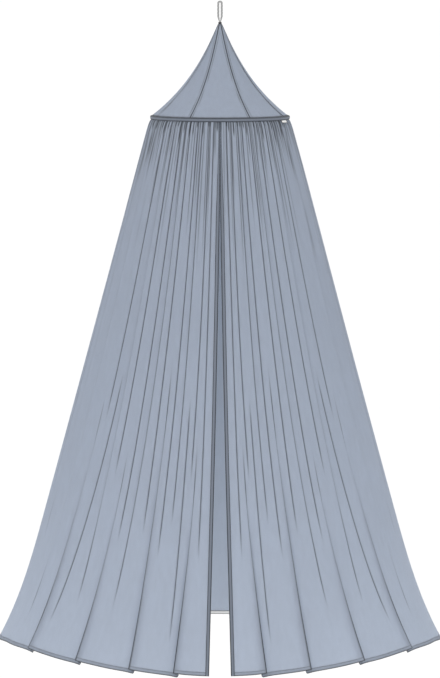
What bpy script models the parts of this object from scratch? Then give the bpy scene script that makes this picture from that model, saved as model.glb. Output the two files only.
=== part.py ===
"""Mosquito net canopy gathered on a hoop and hung from a cord loop.

Metres, +Z up, the front opening towards -Y. The origin is the inside top of the loop, where a
ceiling hook carries it. Bearings are in degrees round the hanging axis, from 0 at the front
centre to 90 at a side and 180 at the back. The drop is the fraction of the way from the
hoop, 0, to the hem, 1.
"""

import math
from collections import namedtuple

import bpy
import numpy as np

GAP = 0.0003                 # between pieces that touch

# Hanging loop: one closed cotton cord, pinched where the whipping binds it
CORD_RADIUS = 0.0036
LOOP_WIDTH = 0.0200
LOOP_STRAIGHT_END = -0.046
NECK_TOP = -0.0705
NECK_BOTTOM = -0.0762
NECK_SPREAD = 0.0022         # half the distance between the two pinched legs
NECK_SQUEEZE = 0.556         # of the cord's radius
LOOP_BOTTOM = -0.0810

# Crown: eight flared gores from the whipping down to the hoop
CROWN_TOP = NECK_BOTTOM - GAP
TIP_RADIUS = 0.0062
GORE_THICKNESS = 0.0012
GORE_SEAMS = (-26.0, 26.0, 68.0, 112.0, 154.0, 206.0, 248.0, 292.0)
GORE_ROWS = 8
GORE_COLUMNS = 3

# Hoop and the cloth casing round it, which is open towards the middle
HOOP_MIDDLE = -0.4123
CASING_RADIUS = 0.2515
CASING_HALF_HEIGHT = 0.0066
CASING_WALL = 0.0012
CASING_DEPTH = 0.0085
HOOP_ROD_RADIUS = 0.0030
HOOP_STEPS = 52
CROWN_BOTTOM = HOOP_MIDDLE + CASING_HALF_HEIGHT + GAP
CROWN_RADIUS = 0.2436

# Skirt: four flared panels that hang in folds
SKIRT_TOP = HOOP_MIDDLE - CASING_HALF_HEIGHT - GAP
SKIRT_DROP = 1.9055
SKIRT_THICKNESS = 0.0015
SKIRT_RADIUS = 0.2535        # where the straight flare meets the hoop
SHOULDER = 0.0050            # how far the top edge tucks in under the casing
SHOULDER_DROP = 0.010
SKIRT_SLOPE = 0.268
FLARE = 0.040                # the extra outward kick of the hem at the sides
FLARE_START = 0.74
FLARE_POWER = 3.2
HEM_HEIGHT = 0.012
SKIRT_DROPS = (0.0, 0.015, 0.14, 0.34, 0.54, 0.69, 0.81, 0.90, 0.955,
               1.0 - HEM_HEIGHT / SKIRT_DROP, 1.0)

# Front opening and the binding that wraps each of its edges
OPENING_START = 0.13
OPENING_HALF_WIDTH = 0.0365
OPENING_CURVE = 1.25
CLOSED_HALF_WIDTH = 0.0006
BINDING_WIDTH = 0.0124
BINDING_WALL = 0.0009

FACING_THICKNESS = 0.0008    # the white facing inside the hem

# Blank side label, sewn in under the casing
LABEL_BEARINGS = (60.5, 69.5)
LABEL_HEIGHT = 0.0080
LABEL_THICKNESS = 0.0010
LABEL_TOP_RADIUS = 0.2526
LABEL_BOTTOM_RADIUS = 0.2572

# How far the hem hangs above (or, below zero, under) its mean level
HEM_LIFT = (
    # bearing, lift
    (0.0, 0.004),
    (12.0, 0.007),
    (24.0, 0.013),
    (41.0, 0.026),
    (58.0, 0.040),
    (72.0, 0.038),
    (90.0, 0.018),
    (120.0, 0.000),
    (150.0, -0.012),
    (180.0, -0.020),
)

# A fold's bearings at the hoop and at the hem, the drops between which it shows, half its
# depth, how far its edge leans over, how far it droops, and its half width.
Fold = namedtuple("Fold", "ring hem start end depth lean droop width")

FRONT_FOLDS = (
    Fold(7.0, 11.5, 0.58, 9.0, 0.0085, 0.0180, 0.0075, 0.50),
    Fold(14.0, 17.5, 0.02, 0.75, 0.0030, 0.0, 0.0, 0.80),
    Fold(20.5, 23.5, 0.44, 9.0, 0.0090, 0.0190, 0.0075, 0.50),
    Fold(28.0, 33.5, 0.02, 0.90, 0.0035, 0.0, 0.0, 0.80),
    Fold(35.0, 39.5, 0.60, 9.0, 0.0100, 0.0200, 0.0080, 0.50),
    Fold(42.5, 46.5, 0.02, 0.90, 0.0035, 0.0, 0.0, 0.80),
    Fold(53.0, 57.5, 0.50, 9.0, 0.0110, 0.0210, 0.0080, 0.50),
    Fold(63.5, 67.5, 0.02, 0.97, 0.0035, 0.0, 0.0, 0.80),
    Fold(74.5, 76.0, 0.02, 0.82, 0.0035, 0.0, 0.0, 0.80),
)
BACK_FOLDS = (
    Fold(5.0, 8.5, 0.40, 9.0, 0.0080, 0.0, 0.0050, 1.40),
    Fold(15.0, 19.5, 0.55, 9.0, 0.0090, 0.0180, 0.0075, 0.50),
    Fold(24.0, 27.0, 0.02, 0.85, 0.0035, 0.0, 0.0, 0.80),
    Fold(33.0, 37.0, 0.45, 9.0, 0.0100, 0.0200, 0.0075, 0.50),
    Fold(42.0, 44.5, 0.02, 0.80, 0.0035, 0.0, 0.0, 0.80),
    Fold(50.5, 55.5, 0.58, 9.0, 0.0090, 0.0190, 0.0075, 0.50),
    Fold(59.5, 63.0, 0.02, 0.90, 0.0035, 0.0, 0.0, 0.80),
    Fold(68.0, 73.0, 0.50, 9.0, 0.0100, 0.0200, 0.0075, 0.50),
    Fold(79.5, 81.5, 0.02, 0.85, 0.0035, 0.0, 0.0, 0.80),
)
SWING = 0.04                 # half way down, a fold has swung this share of the way back
SWING_CENTRE = 26.0          # towards this bearing from where it started at the hoop
FOLD_REACH = 20.0            # degrees, past which a fold no longer moves the cloth
LEANING_STATIONS = (-3.0, -1.0, 0.0, 1.0, 3.0)   # columns across a fold, in half widths
SOFT_STATIONS = (-1.6, 0.0, 1.6)


# ---------------------------------------------------------------- skirt shape

def smooth(value):
    """0 below 0, 1 above 1 and an even curve between."""
    value = min(1.0, max(0.0, value))
    return value * value * (3.0 - 2.0 * value)


def fold_bearing(fold, drop):
    """A fold's bearing from its panel's centre line: a parabola that swings half way down."""
    middle = fold.ring + SWING * (SWING_CENTRE - fold.ring)
    bend = 2.0 * (fold.hem - 2.0 * middle + fold.ring)
    return fold.ring + (fold.hem - fold.ring - bend) * drop + bend * drop * drop


def fold_strength(fold, drop):
    """0 where a fold has died out, 1 where it is whole."""
    rise = smooth((drop - fold.start) / (1.0 - fold.start if fold.end > 1.0 else 0.12))
    fall = smooth((fold.end - drop) / 0.25)
    return rise * fall


def hem_lift(bearing):
    """How far the hem is lifted at a bearing, between the rows of HEM_LIFT."""
    bearing = abs((bearing + 180.0) % 360.0 - 180.0)
    for (low, low_lift), (high, high_lift) in zip(HEM_LIFT, HEM_LIFT[1:]):
        if bearing <= high:
            return low_lift + (high_lift - low_lift) * smooth((bearing - low) / (high - low))
    return HEM_LIFT[-1][1]


def skirt_radius(drop, bearing):
    """The cloth's distance from the axis before its folds."""
    down = drop * SKIRT_DROP
    kick = max(0.0, (drop - FLARE_START) / (1.0 - FLARE_START)) ** FLARE_POWER
    sideways = 1.0 - 0.75 * math.cos(math.radians(bearing)) ** 2
    tuck = SHOULDER * math.exp(-down / SHOULDER_DROP)
    return SKIRT_RADIUS + SKIRT_SLOPE * down + FLARE * kick * sideways - tuck


def skirt_slope(drop, bearing):
    """How far the cloth runs outwards for each metre that it goes down."""
    step = 0.001
    spread = skirt_radius(drop + step, bearing) - skirt_radius(drop - step, bearing)
    return spread / (2.0 * step * SKIRT_DROP)


def all_folds():
    """Every fold as (fold, bearing at a drop, direction its edge faces)."""
    found = []
    for side in (1.0, -1.0):
        for fold in FRONT_FOLDS:
            found.append((fold, side, 0.0, side))
        for fold in BACK_FOLDS:
            found.append((fold, -side, 180.0, -side))
    return found


def skirt_point(drop, bearing):
    """The outer face of the skirt, folds and all."""
    out = along = down = 0.0
    for fold, side, centre, facing in all_folds():
        away = (bearing - centre - side * fold_bearing(fold, drop) + 180.0) % 360.0 - 180.0
        if abs(away) >= FOLD_REACH:
            continue
        strength = fold_strength(fold, drop) * (1.0 - (away / FOLD_REACH) ** 2) ** 2
        across = facing * away / fold.width
        wave = -2.0 * across / (1.0 + across * across)
        late = across - 0.5
        droop = 2.0 * late / (1.0 + late * late)
        out += fold.depth * strength * wave
        along += facing * fold.lean * strength * wave
        down += fold.droop * strength * droop * drop ** 6
    radius = skirt_radius(drop, bearing) + out + down * skirt_slope(drop, bearing)
    angle = math.radians(bearing)
    height = SKIRT_TOP - SKIRT_DROP * drop + hem_lift(bearing) * drop ** 3 - down
    return (radius * math.sin(angle) + along * math.cos(angle),
            -radius * math.cos(angle) + along * math.sin(angle),
            height)


def opening_half_width(drop):
    """Half the distance between the two bound front edges."""
    opened = max(0.0, (drop - OPENING_START) / (1.0 - OPENING_START)) ** OPENING_CURVE
    return CLOSED_HALF_WIDTH + OPENING_HALF_WIDTH * opened


def column_bearings(folds, drop, at_opening):
    """Bearings of one panel's columns at a drop, from its centre edge out to the side seam."""
    radius = skirt_radius(drop, 0.0)
    seam = math.degrees(GAP / 2.0 / radius)
    if at_opening:
        edge = math.degrees(math.asin((opening_half_width(drop) + BINDING_WALL + GAP) / radius))
        bearings = [edge, edge + math.degrees(BINDING_WIDTH / radius)]
    else:
        bearings = [seam]
    for fold in folds:
        stations = LEANING_STATIONS if fold.lean else SOFT_STATIONS
        bearings += [fold_bearing(fold, drop) + fold.width * step for step in stations]
    bearings += [0.5 * (bearings[-1] + 90.0 - seam), 90.0 - seam]
    return bearings


def skirt_grid(folds, side, at_opening):
    """Rows of points on a panel's outer face, in order of increasing bearing."""
    rows = []
    for drop in SKIRT_DROPS:
        bearings = column_bearings(folds, drop, at_opening)
        if not at_opening:
            bearings = [180.0 - bearing for bearing in bearings]
        bearings = sorted(side * bearing for bearing in bearings)
        rows.append([skirt_point(drop, bearing) for bearing in bearings])
    return np.array(rows)


# ---------------------------------------------------------------- mesh helpers

def unit(vectors):
    return vectors / np.linalg.norm(vectors, axis=-1, keepdims=True)


def grid_normals(grid):
    """The mean of the unit face normals round each point, pointing away from the cloth's back.

    Rows run down and columns run with the bearing, so down x along points outwards.
    """
    down = grid[1:, :-1] - grid[:-1, :-1]
    along = grid[:-1, 1:] - grid[:-1, :-1]
    far_down = grid[1:, 1:] - grid[:-1, 1:]
    far_along = grid[1:, 1:] - grid[1:, :-1]
    faces = unit(np.cross(down + far_down, along + far_along))
    total = np.zeros_like(grid)
    for row_shift in (0, 1):
        for column_shift in (0, 1):
            rows = slice(row_shift, row_shift + faces.shape[0])
            columns = slice(column_shift, column_shift + faces.shape[1])
            total[rows, columns] += faces
    return unit(total)


def square_to_seam(normals, column, bearing):
    """Turns the normals along a seam into the seam's own plane, so both sides stay apart."""
    angle = math.radians(bearing)
    across = np.array((math.cos(angle), math.sin(angle), 0.0))
    edge = normals[:, column]
    normals[:, column] = unit(edge - np.outer(edge @ across, across))


def new_object(name, vertices, faces, material, flat_angle=40.0):
    """A named object with a smooth-shaded mesh that is sharp past flat_angle."""
    mesh = bpy.data.meshes.new(name)
    mesh.from_pydata([tuple(map(float, vertex)) for vertex in vertices], [], faces)
    mesh.shade_smooth()
    mesh.set_sharp_from_angle(angle=math.radians(flat_angle))
    mesh.materials.append(material)
    item = bpy.data.objects.new(name, mesh)
    bpy.context.collection.objects.link(item)
    return item


def quad(a, b, c, d):
    """Two triangles, always split along the same diagonal so that layers nest."""
    return [(a, b, c), (a, c, d)]


def closed_sheet(name, outer, inner, material):
    """A solid between two grids of points, closed round its edges."""
    rows, columns = outer.shape[:2]
    count = rows * columns
    faces = []
    for row in range(rows - 1):
        for column in range(columns - 1):
            a = row * columns + column
            b, c, d = a + columns, a + columns + 1, a + 1
            faces += quad(a, b, c, d)
            faces += [(x + count, z + count, y + count) for x, y, z in quad(a, b, c, d)]
    rim = [column for column in range(columns)]
    rim += [row * columns + columns - 1 for row in range(1, rows)]
    rim += [(rows - 1) * columns + column for column in range(columns - 2, -1, -1)]
    rim += [row * columns for row in range(rows - 2, 0, -1)]
    for here, there in zip(rim, rim[1:] + rim[:1]):
        faces += quad(here, there, there + count, here + count)
    points = np.concatenate([outer.reshape(-1, 3), inner.reshape(-1, 3)])
    return new_object(name, points, faces, material)


def lofted(name, sections, material, closed=False):
    """A solid through equal closed sections, capped at its ends unless it is a ring."""
    sections = np.array(sections)
    count, size = sections.shape[:2]
    faces = []
    for index in range(count if closed else count - 1):
        here, there = index * size, (index + 1) % count * size
        for corner in range(size):
            after = (corner + 1) % size
            faces += quad(here + corner, there + corner, there + after, here + after)
    if not closed:
        last = (count - 1) * size
        faces += [tuple(range(size)), tuple(last + corner for corner in reversed(range(size)))]
    return new_object(name, sections.reshape(-1, 3), faces, material)


def cloth_material(name, colour, roughness):
    """A plain Principled material."""
    material = bpy.data.materials.new(name)
    material.use_nodes = True
    shader = material.node_tree.nodes["Principled BSDF"]
    shader.inputs["Base Color"].default_value = (*colour, 1.0)
    shader.inputs["Roughness"].default_value = roughness
    material.diffuse_color = (*colour, 1.0)
    return material


# ---------------------------------------------------------------- pieces

def make_loop(material):
    """The cord loop: a round top, two straight legs and a pinched neck that ends in a turn."""
    half = LOOP_WIDTH / 2.0 - CORD_RADIUS
    top_centre = CORD_RADIUS - half
    bottom_centre = LOOP_BOTTOM + NECK_SPREAD
    right = []
    for step in range(1, 6):
        angle = math.radians(90.0 - 18.0 * step)
        right.append((half * math.cos(angle), top_centre + half * math.sin(angle), 1.0))
    for step in range(1, 7):
        right.append((half, top_centre + (LOOP_STRAIGHT_END - top_centre) * step / 6.0, 1.0))
    for step in range(1, 8):
        way = step / 7.0
        squeeze = 1.0 + (NECK_SQUEEZE - 1.0) * smooth(way)
        right.append((half + (NECK_SPREAD - half) * smooth(way),
                      LOOP_STRAIGHT_END + (NECK_TOP - LOOP_STRAIGHT_END) * way, squeeze))
    for way in (0.5, 1.0):
        right.append((NECK_SPREAD, NECK_TOP + (bottom_centre - NECK_TOP) * way, NECK_SQUEEZE))
    for angle in (-30.0, -60.0):
        turn = math.radians(angle)
        right.append((NECK_SPREAD * math.cos(turn), bottom_centre + NECK_SPREAD * math.sin(turn),
                      NECK_SQUEEZE))
    left = [(-x, z, squeeze) for x, z, squeeze in reversed(right)]
    route = [(0.0, CORD_RADIUS, 1.0), *right, (0.0, LOOP_BOTTOM, NECK_SQUEEZE), *left]
    curve = bpy.data.curves.new("hanging_loop", "CURVE")
    curve.dimensions = "3D"
    curve.bevel_depth = CORD_RADIUS
    curve.bevel_resolution = 2
    spline = curve.splines.new("POLY")
    spline.points.add(len(route) - 1)
    spline.use_cyclic_u = True
    for point, (x, z, squeeze) in zip(spline.points, route):
        point.co = (x, 0.0, z, 1.0)
        point.radius = squeeze
    curve.materials.append(material)
    bpy.context.collection.objects.link(bpy.data.objects.new("hanging_loop", curve))


def make_whipping(material):
    """The thread wound round the loop's neck, an oval ring."""
    inner, outer = (0.0049, 0.0032), (0.0058, 0.0041)
    low, high = NECK_BOTTOM, NECK_TOP
    bulge = 0.0003
    profile = [(inner, high, 0.0), (inner, low, 0.0), (outer, low, -bulge),
               (outer, (low + high) / 2.0, bulge), (outer, high, -bulge)]
    sections = []
    for step in range(20):
        angle = math.tau * step / 20
        sections.append([((radii[0] + extra) * math.cos(angle),
                          (radii[1] + extra) * math.sin(angle), height)
                         for radii, height, extra in profile])
    lofted("loop_whipping", sections, material, closed=True)


def crown_radius(fraction):
    """The concave line of the crown from its tip, 0, to the hoop, 1."""
    return TIP_RADIUS + (CROWN_RADIUS - TIP_RADIUS) * (0.63 * fraction + 0.37 * fraction ** 3)


def make_gores(material):
    """Eight gores side by side, each a curved sheet between two seams."""
    for index, start in enumerate(GORE_SEAMS):
        end = GORE_SEAMS[(index + 1) % len(GORE_SEAMS)]
        if end < start:
            end += 360.0
        rows = []
        for row in range(GORE_ROWS + 1):
            fraction = row / GORE_ROWS
            radius = crown_radius(fraction)
            margin = math.degrees(GAP / 2.0 / (radius - GORE_THICKNESS))
            height = CROWN_TOP + (CROWN_BOTTOM - CROWN_TOP) * fraction
            points = []
            for column in range(GORE_COLUMNS + 1):
                share = column / GORE_COLUMNS
                angle = math.radians(start + margin + (end - start - 2.0 * margin) * share)
                points.append((radius * math.sin(angle), -radius * math.cos(angle), height))
            rows.append(points)
        outer = np.array(rows)
        inner = outer.copy()
        radii = np.linalg.norm(outer[..., :2], axis=-1, keepdims=True)
        inner[..., :2] *= (radii - GORE_THICKNESS) / radii
        closed_sheet(f"crown_gore_{index + 1}", outer, inner, material)


def ring_sections(profile, steps):
    """Sections of a ring round the axis from (radius, height) corners."""
    sections = []
    for step in range(steps):
        angle = math.tau * step / steps
        sections.append([(radius * math.sin(angle), -radius * math.cos(angle), height)
                         for radius, height in profile])
    return sections


def make_hoop(material):
    """The round rod that spreads the canopy."""
    centre = CASING_RADIUS - CASING_WALL - GAP - HOOP_ROD_RADIUS
    profile = []
    for step in range(8):
        angle = math.tau * step / 8
        profile.append((centre + HOOP_ROD_RADIUS * math.cos(angle),
                        HOOP_MIDDLE + HOOP_ROD_RADIUS * math.sin(angle)))
    lofted("hoop", ring_sections(profile, HOOP_STEPS), material, closed=True)


def make_casing(material):
    """The cloth channel round the hoop, open towards the middle."""
    high, wall = CASING_HALF_HEIGHT, CASING_WALL
    outside = [(CASING_DEPTH, -high), (0.0027, -high), (0.0, -0.4 * high), (0.0, 0.4 * high),
               (0.0027, high), (CASING_DEPTH, high)]
    inside = [(CASING_DEPTH, high - wall), (0.0034, high - wall), (wall, 0.3 * high),
              (wall, -0.3 * high), (0.0034, wall - high), (CASING_DEPTH, wall - high)]
    profile = [(CASING_RADIUS - inset, HOOP_MIDDLE + height) for inset, height in outside + inside]
    lofted("hoop_casing", ring_sections(profile, HOOP_STEPS), material, closed=True)


def make_binding(name, grid, normals, centre_first, material):
    """A folded strip that wraps a front edge: a U in section, swept down the edge."""
    edge, inward = (0, 1) if centre_first else (-1, -2)
    lip = (BINDING_WALL + GAP) / BINDING_WIDTH
    low, high = GAP, GAP + BINDING_WALL
    profile = [(0.90, low), (0.90, high), (-lip, high), (-lip, -SKIRT_THICKNESS - high),
               (0.90, -SKIRT_THICKNESS - high), (0.90, -SKIRT_THICKNESS - low),
               (-0.03, -SKIRT_THICKNESS - low), (-0.03, low)]
    sections = []
    for row in range(grid.shape[0]):
        start, step = grid[row, edge], grid[row, inward] - grid[row, edge]
        section = []
        for along, out in profile:
            share = min(1.0, max(0.0, along))
            normal = normals[row, edge] * (1.0 - share) + normals[row, inward] * share
            section.append(start + step * along + unit(normal) * out)
        sections.append(section[::-1] if centre_first else section)
    lofted(name, sections, material)


def make_skirt(cloth, binding, facing):
    """The four panels, the bindings of the front two and the facing inside each hem."""
    panels = (
        # name, folds, side, at the opening
        ("front_right", FRONT_FOLDS, 1.0, True),
        ("front_left", FRONT_FOLDS, -1.0, True),
        ("back_right", BACK_FOLDS, 1.0, False),
        ("back_left", BACK_FOLDS, -1.0, False),
    )
    for name, folds, side, at_opening in panels:
        grid = skirt_grid(folds, side, at_opening)
        normals = grid_normals(grid)
        increasing = (side > 0.0) == at_opening
        square_to_seam(normals, -1 if increasing else 0, 90.0)
        if not at_opening:
            square_to_seam(normals, 0 if increasing else -1, 180.0)
        closed_sheet(f"skirt_{name}", grid, grid - normals * SKIRT_THICKNESS, cloth)
        if at_opening:
            make_binding(f"{name}_binding", grid, normals, side > 0.0, binding)
        first = 1 if at_opening and side > 0.0 else 0
        last = -1 if at_opening and side < 0.0 else None
        hem = (slice(-2, None), slice(first, last))
        face = grid[hem] - normals[hem] * (SKIRT_THICKNESS + GAP)
        back = face - normals[hem] * FACING_THICKNESS
        closed_sheet(f"{name}_hem_facing", face, back, facing)


def make_label(material):
    """A blank woven label that hangs from under the casing, clear of the skirt."""
    sections = []
    for step in range(5):
        share = step / 4
        angle = math.radians(LABEL_BEARINGS[0] + (LABEL_BEARINGS[1] - LABEL_BEARINGS[0]) * share)
        corners = ((LABEL_TOP_RADIUS - LABEL_THICKNESS, SKIRT_TOP),
                   (LABEL_BOTTOM_RADIUS - LABEL_THICKNESS, SKIRT_TOP - LABEL_HEIGHT),
                   (LABEL_BOTTOM_RADIUS, SKIRT_TOP - LABEL_HEIGHT),
                   (LABEL_TOP_RADIUS, SKIRT_TOP))
        sections.append([(radius * math.sin(angle), -radius * math.cos(angle), height)
                         for radius, height in corners])
    lofted("side_label", sections, material)


def main():
    for item in list(bpy.data.objects):
        bpy.data.objects.remove(item)
    net = cloth_material("net_cloth", (0.33, 0.38, 0.47), 0.85)
    trim = cloth_material("trim_cloth", (0.20, 0.23, 0.29), 0.85)
    white = cloth_material("white_cotton", (0.85, 0.85, 0.84), 0.80)
    cord = cloth_material("grey_cord", (0.42, 0.42, 0.42), 0.80)
    thread = cloth_material("dark_thread", (0.03, 0.03, 0.035), 0.70)
    rod = cloth_material("white_plastic_rod", (0.80, 0.80, 0.78), 0.45)
    make_loop(cord)
    make_whipping(thread)
    make_gores(net)
    make_hoop(rod)
    make_casing(trim)
    make_skirt(net, trim, white)
    make_label(white)


main()
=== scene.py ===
"""Looks of a hooped mosquito net canopy: a gathered net skirt, a crown, a cased hoop and a loop.

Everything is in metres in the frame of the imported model, +Z up, with the inside top of the cord
loop at the origin and the front opening towards -Y. Bearings are in degrees round the hanging
axis, from 0 at the front centre to 90 at a side and 180 at the back. A drop is the fraction of
the way down the skirt, from 0 at the hoop to 1 at the hem.
"""

from __future__ import annotations

import logging
import math
from dataclasses import dataclass, field
from enum import Enum
from typing import Any, ClassVar, Iterable, Sequence

import bpy
import numpy as np
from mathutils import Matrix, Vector

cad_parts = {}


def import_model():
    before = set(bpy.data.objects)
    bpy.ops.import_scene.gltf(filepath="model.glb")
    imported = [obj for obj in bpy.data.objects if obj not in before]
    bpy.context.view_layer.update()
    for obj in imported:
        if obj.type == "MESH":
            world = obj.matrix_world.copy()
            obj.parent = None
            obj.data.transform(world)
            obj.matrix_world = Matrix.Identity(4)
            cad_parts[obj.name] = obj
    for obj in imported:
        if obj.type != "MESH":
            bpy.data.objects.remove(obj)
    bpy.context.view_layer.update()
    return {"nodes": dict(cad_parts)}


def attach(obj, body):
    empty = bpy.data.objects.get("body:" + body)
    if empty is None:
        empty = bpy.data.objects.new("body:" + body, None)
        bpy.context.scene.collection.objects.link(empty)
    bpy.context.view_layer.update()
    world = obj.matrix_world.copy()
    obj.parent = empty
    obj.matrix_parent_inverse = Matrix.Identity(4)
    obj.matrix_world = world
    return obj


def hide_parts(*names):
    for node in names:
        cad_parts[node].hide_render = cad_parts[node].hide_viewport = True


LOG = logging.getLogger("canopy")

GAP = 0.0003                 # the room kept between neighbouring pieces
BODY = "root"
PAINTED_SHADE_AND_SEAMS = "crease"            # paints shade into folds, creases and grooves; darkens seams
WEAVE_UV = "weave"           # the cloth's own flat plan
UV_SPAN = 4.0                # metres of cloth that the plan's square holds

Sockets = dict[Any, Any]


# ---------------------------------------------------------------- shader and mesh helpers


class Value:
    """A number socket of a node tree, on which arithmetic adds Math nodes."""

    def __init__(self, graph: "Graph", socket: bpy.types.NodeSocket) -> None:
        """Holds a socket of a graph."""
        self.graph = graph
        self.socket = socket

    def _math(self, operation: str, *values: Any, clamp: bool = False) -> "Value":
        """One Math node.

        Args:
            operation: The node's operation.
            values: Its inputs, in order.
            clamp: Whether the result is kept between 0 and 1.

        Returns:
            The node's result.
        """
        inputs = {index: value for index, value in enumerate(values)}
        settings = {"operation": operation, "use_clamp": clamp}
        return self.graph.node("ShaderNodeMath", settings, inputs)[0]

    def __add__(self, other: Any) -> "Value":
        """self + other."""
        return self._math("ADD", self, other)

    def __radd__(self, other: Any) -> "Value":
        """other + self."""
        return self._math("ADD", other, self)

    def __sub__(self, other: Any) -> "Value":
        """self - other."""
        return self._math("SUBTRACT", self, other)

    def __rsub__(self, other: Any) -> "Value":
        """other - self."""
        return self._math("SUBTRACT", other, self)

    def __mul__(self, other: Any) -> "Value":
        """self * other."""
        return self._math("MULTIPLY", self, other)

    def __rmul__(self, other: Any) -> "Value":
        """other * self."""
        return self._math("MULTIPLY", other, self)

    def __truediv__(self, other: Any) -> "Value":
        """self / other."""
        return self._math("DIVIDE", self, other)

    def sine(self) -> "Value":
        """The sine of the value in radians."""
        return self._math("SINE", self)

    def size(self) -> "Value":
        """The value without its sign."""
        return self._math("ABSOLUTE", self)

    def least(self, other: Any) -> "Value":
        """The lesser of two values."""
        return self._math("MINIMUM", self, other)

    def clamped(self) -> "Value":
        """The value kept between 0 and 1."""
        return self._math("ADD", self, 0.0, clamp=True)


class Graph:
    """A material's node tree, with one method that adds nodes."""

    def __init__(self, name: str) -> None:
        """Starts an empty material.

        Args:
            name: The material's name.
        """
        self.material = bpy.data.materials.new(name)
        self.material.use_nodes = True
        self.tree = self.material.node_tree
        self.tree.nodes.clear()

    def node(self, kind: str, settings: Sockets | None = None,
             inputs: Sockets | None = None) -> list[Value]:
        """Adds a node.

        Args:
            kind: The node's type.
            settings: Its settings, which are set first.
            inputs: Values or Values-to-link by socket name or index.

        Returns:
            The node's outputs.
        """
        made = self.tree.nodes.new(kind)
        for name, setting in (settings or {}).items():
            setattr(made, name, setting)
        for key, value in (inputs or {}).items():
            socket = made.inputs[key]
            if isinstance(value, Value):
                self.tree.links.new(value.socket, socket)
            else:
                socket.default_value = value
        return [Value(self, output) for output in made.outputs]

    def attribute(self, name: str) -> Value:
        """A number stored on the mesh."""
        return self.node("ShaderNodeAttribute", {"attribute_name": name})[2]

    def plan(self) -> tuple[Value, Value]:
        """The cloth's flat plan, in metres across and down."""
        flat = self.node("ShaderNodeUVMap", {"uv_map": WEAVE_UV})[0]
        across, down, _ = self.node("ShaderNodeSeparateXYZ", None, {0: flat})
        return across * UV_SPAN, down * UV_SPAN

    def place(self) -> Value:
        """The point's place in the model, in metres."""
        return self.node("ShaderNodeTexCoord")[3]

    def noise(self, place: Value, scale: float, detail: float = 2.0) -> Value:
        """Noise between about 0 and 1.

        Args:
            place: Where it is read.
            scale: Its waves for each metre.
            detail: How many finer octaves it has.

        Returns:
            The noise.
        """
        return self.node("ShaderNodeTexNoise", None,
                         {"Vector": place, "Scale": scale, "Detail": detail})[0]

    def stretched(self, place: Value, scale: tuple[float, float, float]) -> Value:
        """A place scaled along each axis."""
        return self.node("ShaderNodeMapping", {"vector_type": "POINT"},
                         {"Vector": place, "Scale": scale})[0]

    def tinted(self, colour: tuple[float, float, float], shade: Value) -> Value:
        """A colour multiplied by a number."""
        grey = self.node("ShaderNodeCombineXYZ", None, {0: shade, 1: shade, 2: shade})[0]
        return self.node("ShaderNodeVectorMath", {"operation": "MULTIPLY"},
                         {0: grey, 1: colour})[0]

    def bump(self, height: Value, distance: float, strength: float = 1.0) -> Value:
        """A normal tipped by a height.

        Args:
            height: The height, between 0 and 1.
            distance: What a height of 1 stands for, in metres.
            strength: How much of it shows.

        Returns:
            The normal.
        """
        return self.node("ShaderNodeBump", None,
                         {"Height": height, "Distance": distance, "Strength": strength})[0]

    def surface(self, colour: tuple[float, float, float], shade: Value, roughness: Value,
                normal: Value, sheen: float = 0.0, specular: float = 0.5) -> Value:
        """A rough, unmetallic surface.

        Args:
            colour: Its colour.
            shade: What the colour is multiplied by.
            roughness: Its roughness.
            normal: Its normal.
            sheen: How strongly its fibres catch the light at a slant.
            specular: How strongly it reflects.

        Returns:
            The shader.
        """
        return self.node("ShaderNodeBsdfPrincipled", None, {
            "Base Color": self.tinted(colour, shade),
            "Roughness": roughness,
            "Sheen Weight": sheen,
            "Specular IOR Level": specular,
            "Normal": normal,
        })[0]

    def finish(self, shader: Value) -> bpy.types.Material:
        """Ends the tree in a shader and returns the material."""
        self.node("ShaderNodeOutputMaterial", None, {"Surface": shader})
        return self.material


@dataclass(frozen=True)
class NetFinish:
    """Fine polyester net: matt threads that let some light through.

    The cloth shows a diamond mesh and faint streaks down the drop; shade is painted into its
    colour along fold edges, creases and gathers.
    """

    name: str = "fine_net"
    colour: tuple[float, float, float] = (0.410, 0.450, 0.525)
    through: tuple[float, float, float] = (0.76, 0.815, 0.89)
    share_through: float = 0.50
    pitch: float = 0.0021
    shade_and_seam_depth: float = 0.90

    def build(self) -> bpy.types.Material:
        """Makes the material."""
        graph = Graph(self.name)
        across, down = graph.plan()
        place = graph.place()
        turns = math.pi / self.pitch
        one = ((across + down * 0.62) * turns).sine().size()
        two = ((across - down * 0.62) * turns).sine().size()
        thread = 1.0 - (one.least(two) / 0.55).clamped()
        streaks = graph.noise(graph.stretched(place, (1.0, 1.0, 0.05)), 70.0, 3.0)
        cloudy = graph.noise(place, 3.5, 2.0)
        # Shade painted from the mesh's tone at folds, creases and gathers, and darker seams.
        crease = graph.attribute(PAINTED_SHADE_AND_SEAMS).clamped()
        tone = 0.90 + thread * 0.10 + (streaks - 0.5) * 0.09 + (cloudy - 0.5) * 0.05
        shade = tone * (1.0 - crease * self.shade_and_seam_depth)
        normal = graph.bump(thread * 0.7 + streaks * 0.3, 0.00025, 0.6)
        roughness = 0.80 + crease * 0.12 - thread * 0.05
        solid = graph.surface(self.colour, shade, roughness, normal, 0.06, 0.25)
        lit = graph.node("ShaderNodeBsdfTranslucent", None, {
            "Color": graph.tinted(self.through, shade),
            "Normal": normal,
        })[0]
        mixed = graph.node("ShaderNodeMixShader", None,
                           {0: self.share_through, 1: solid, 2: lit})[0]
        return graph.finish(mixed)


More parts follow.
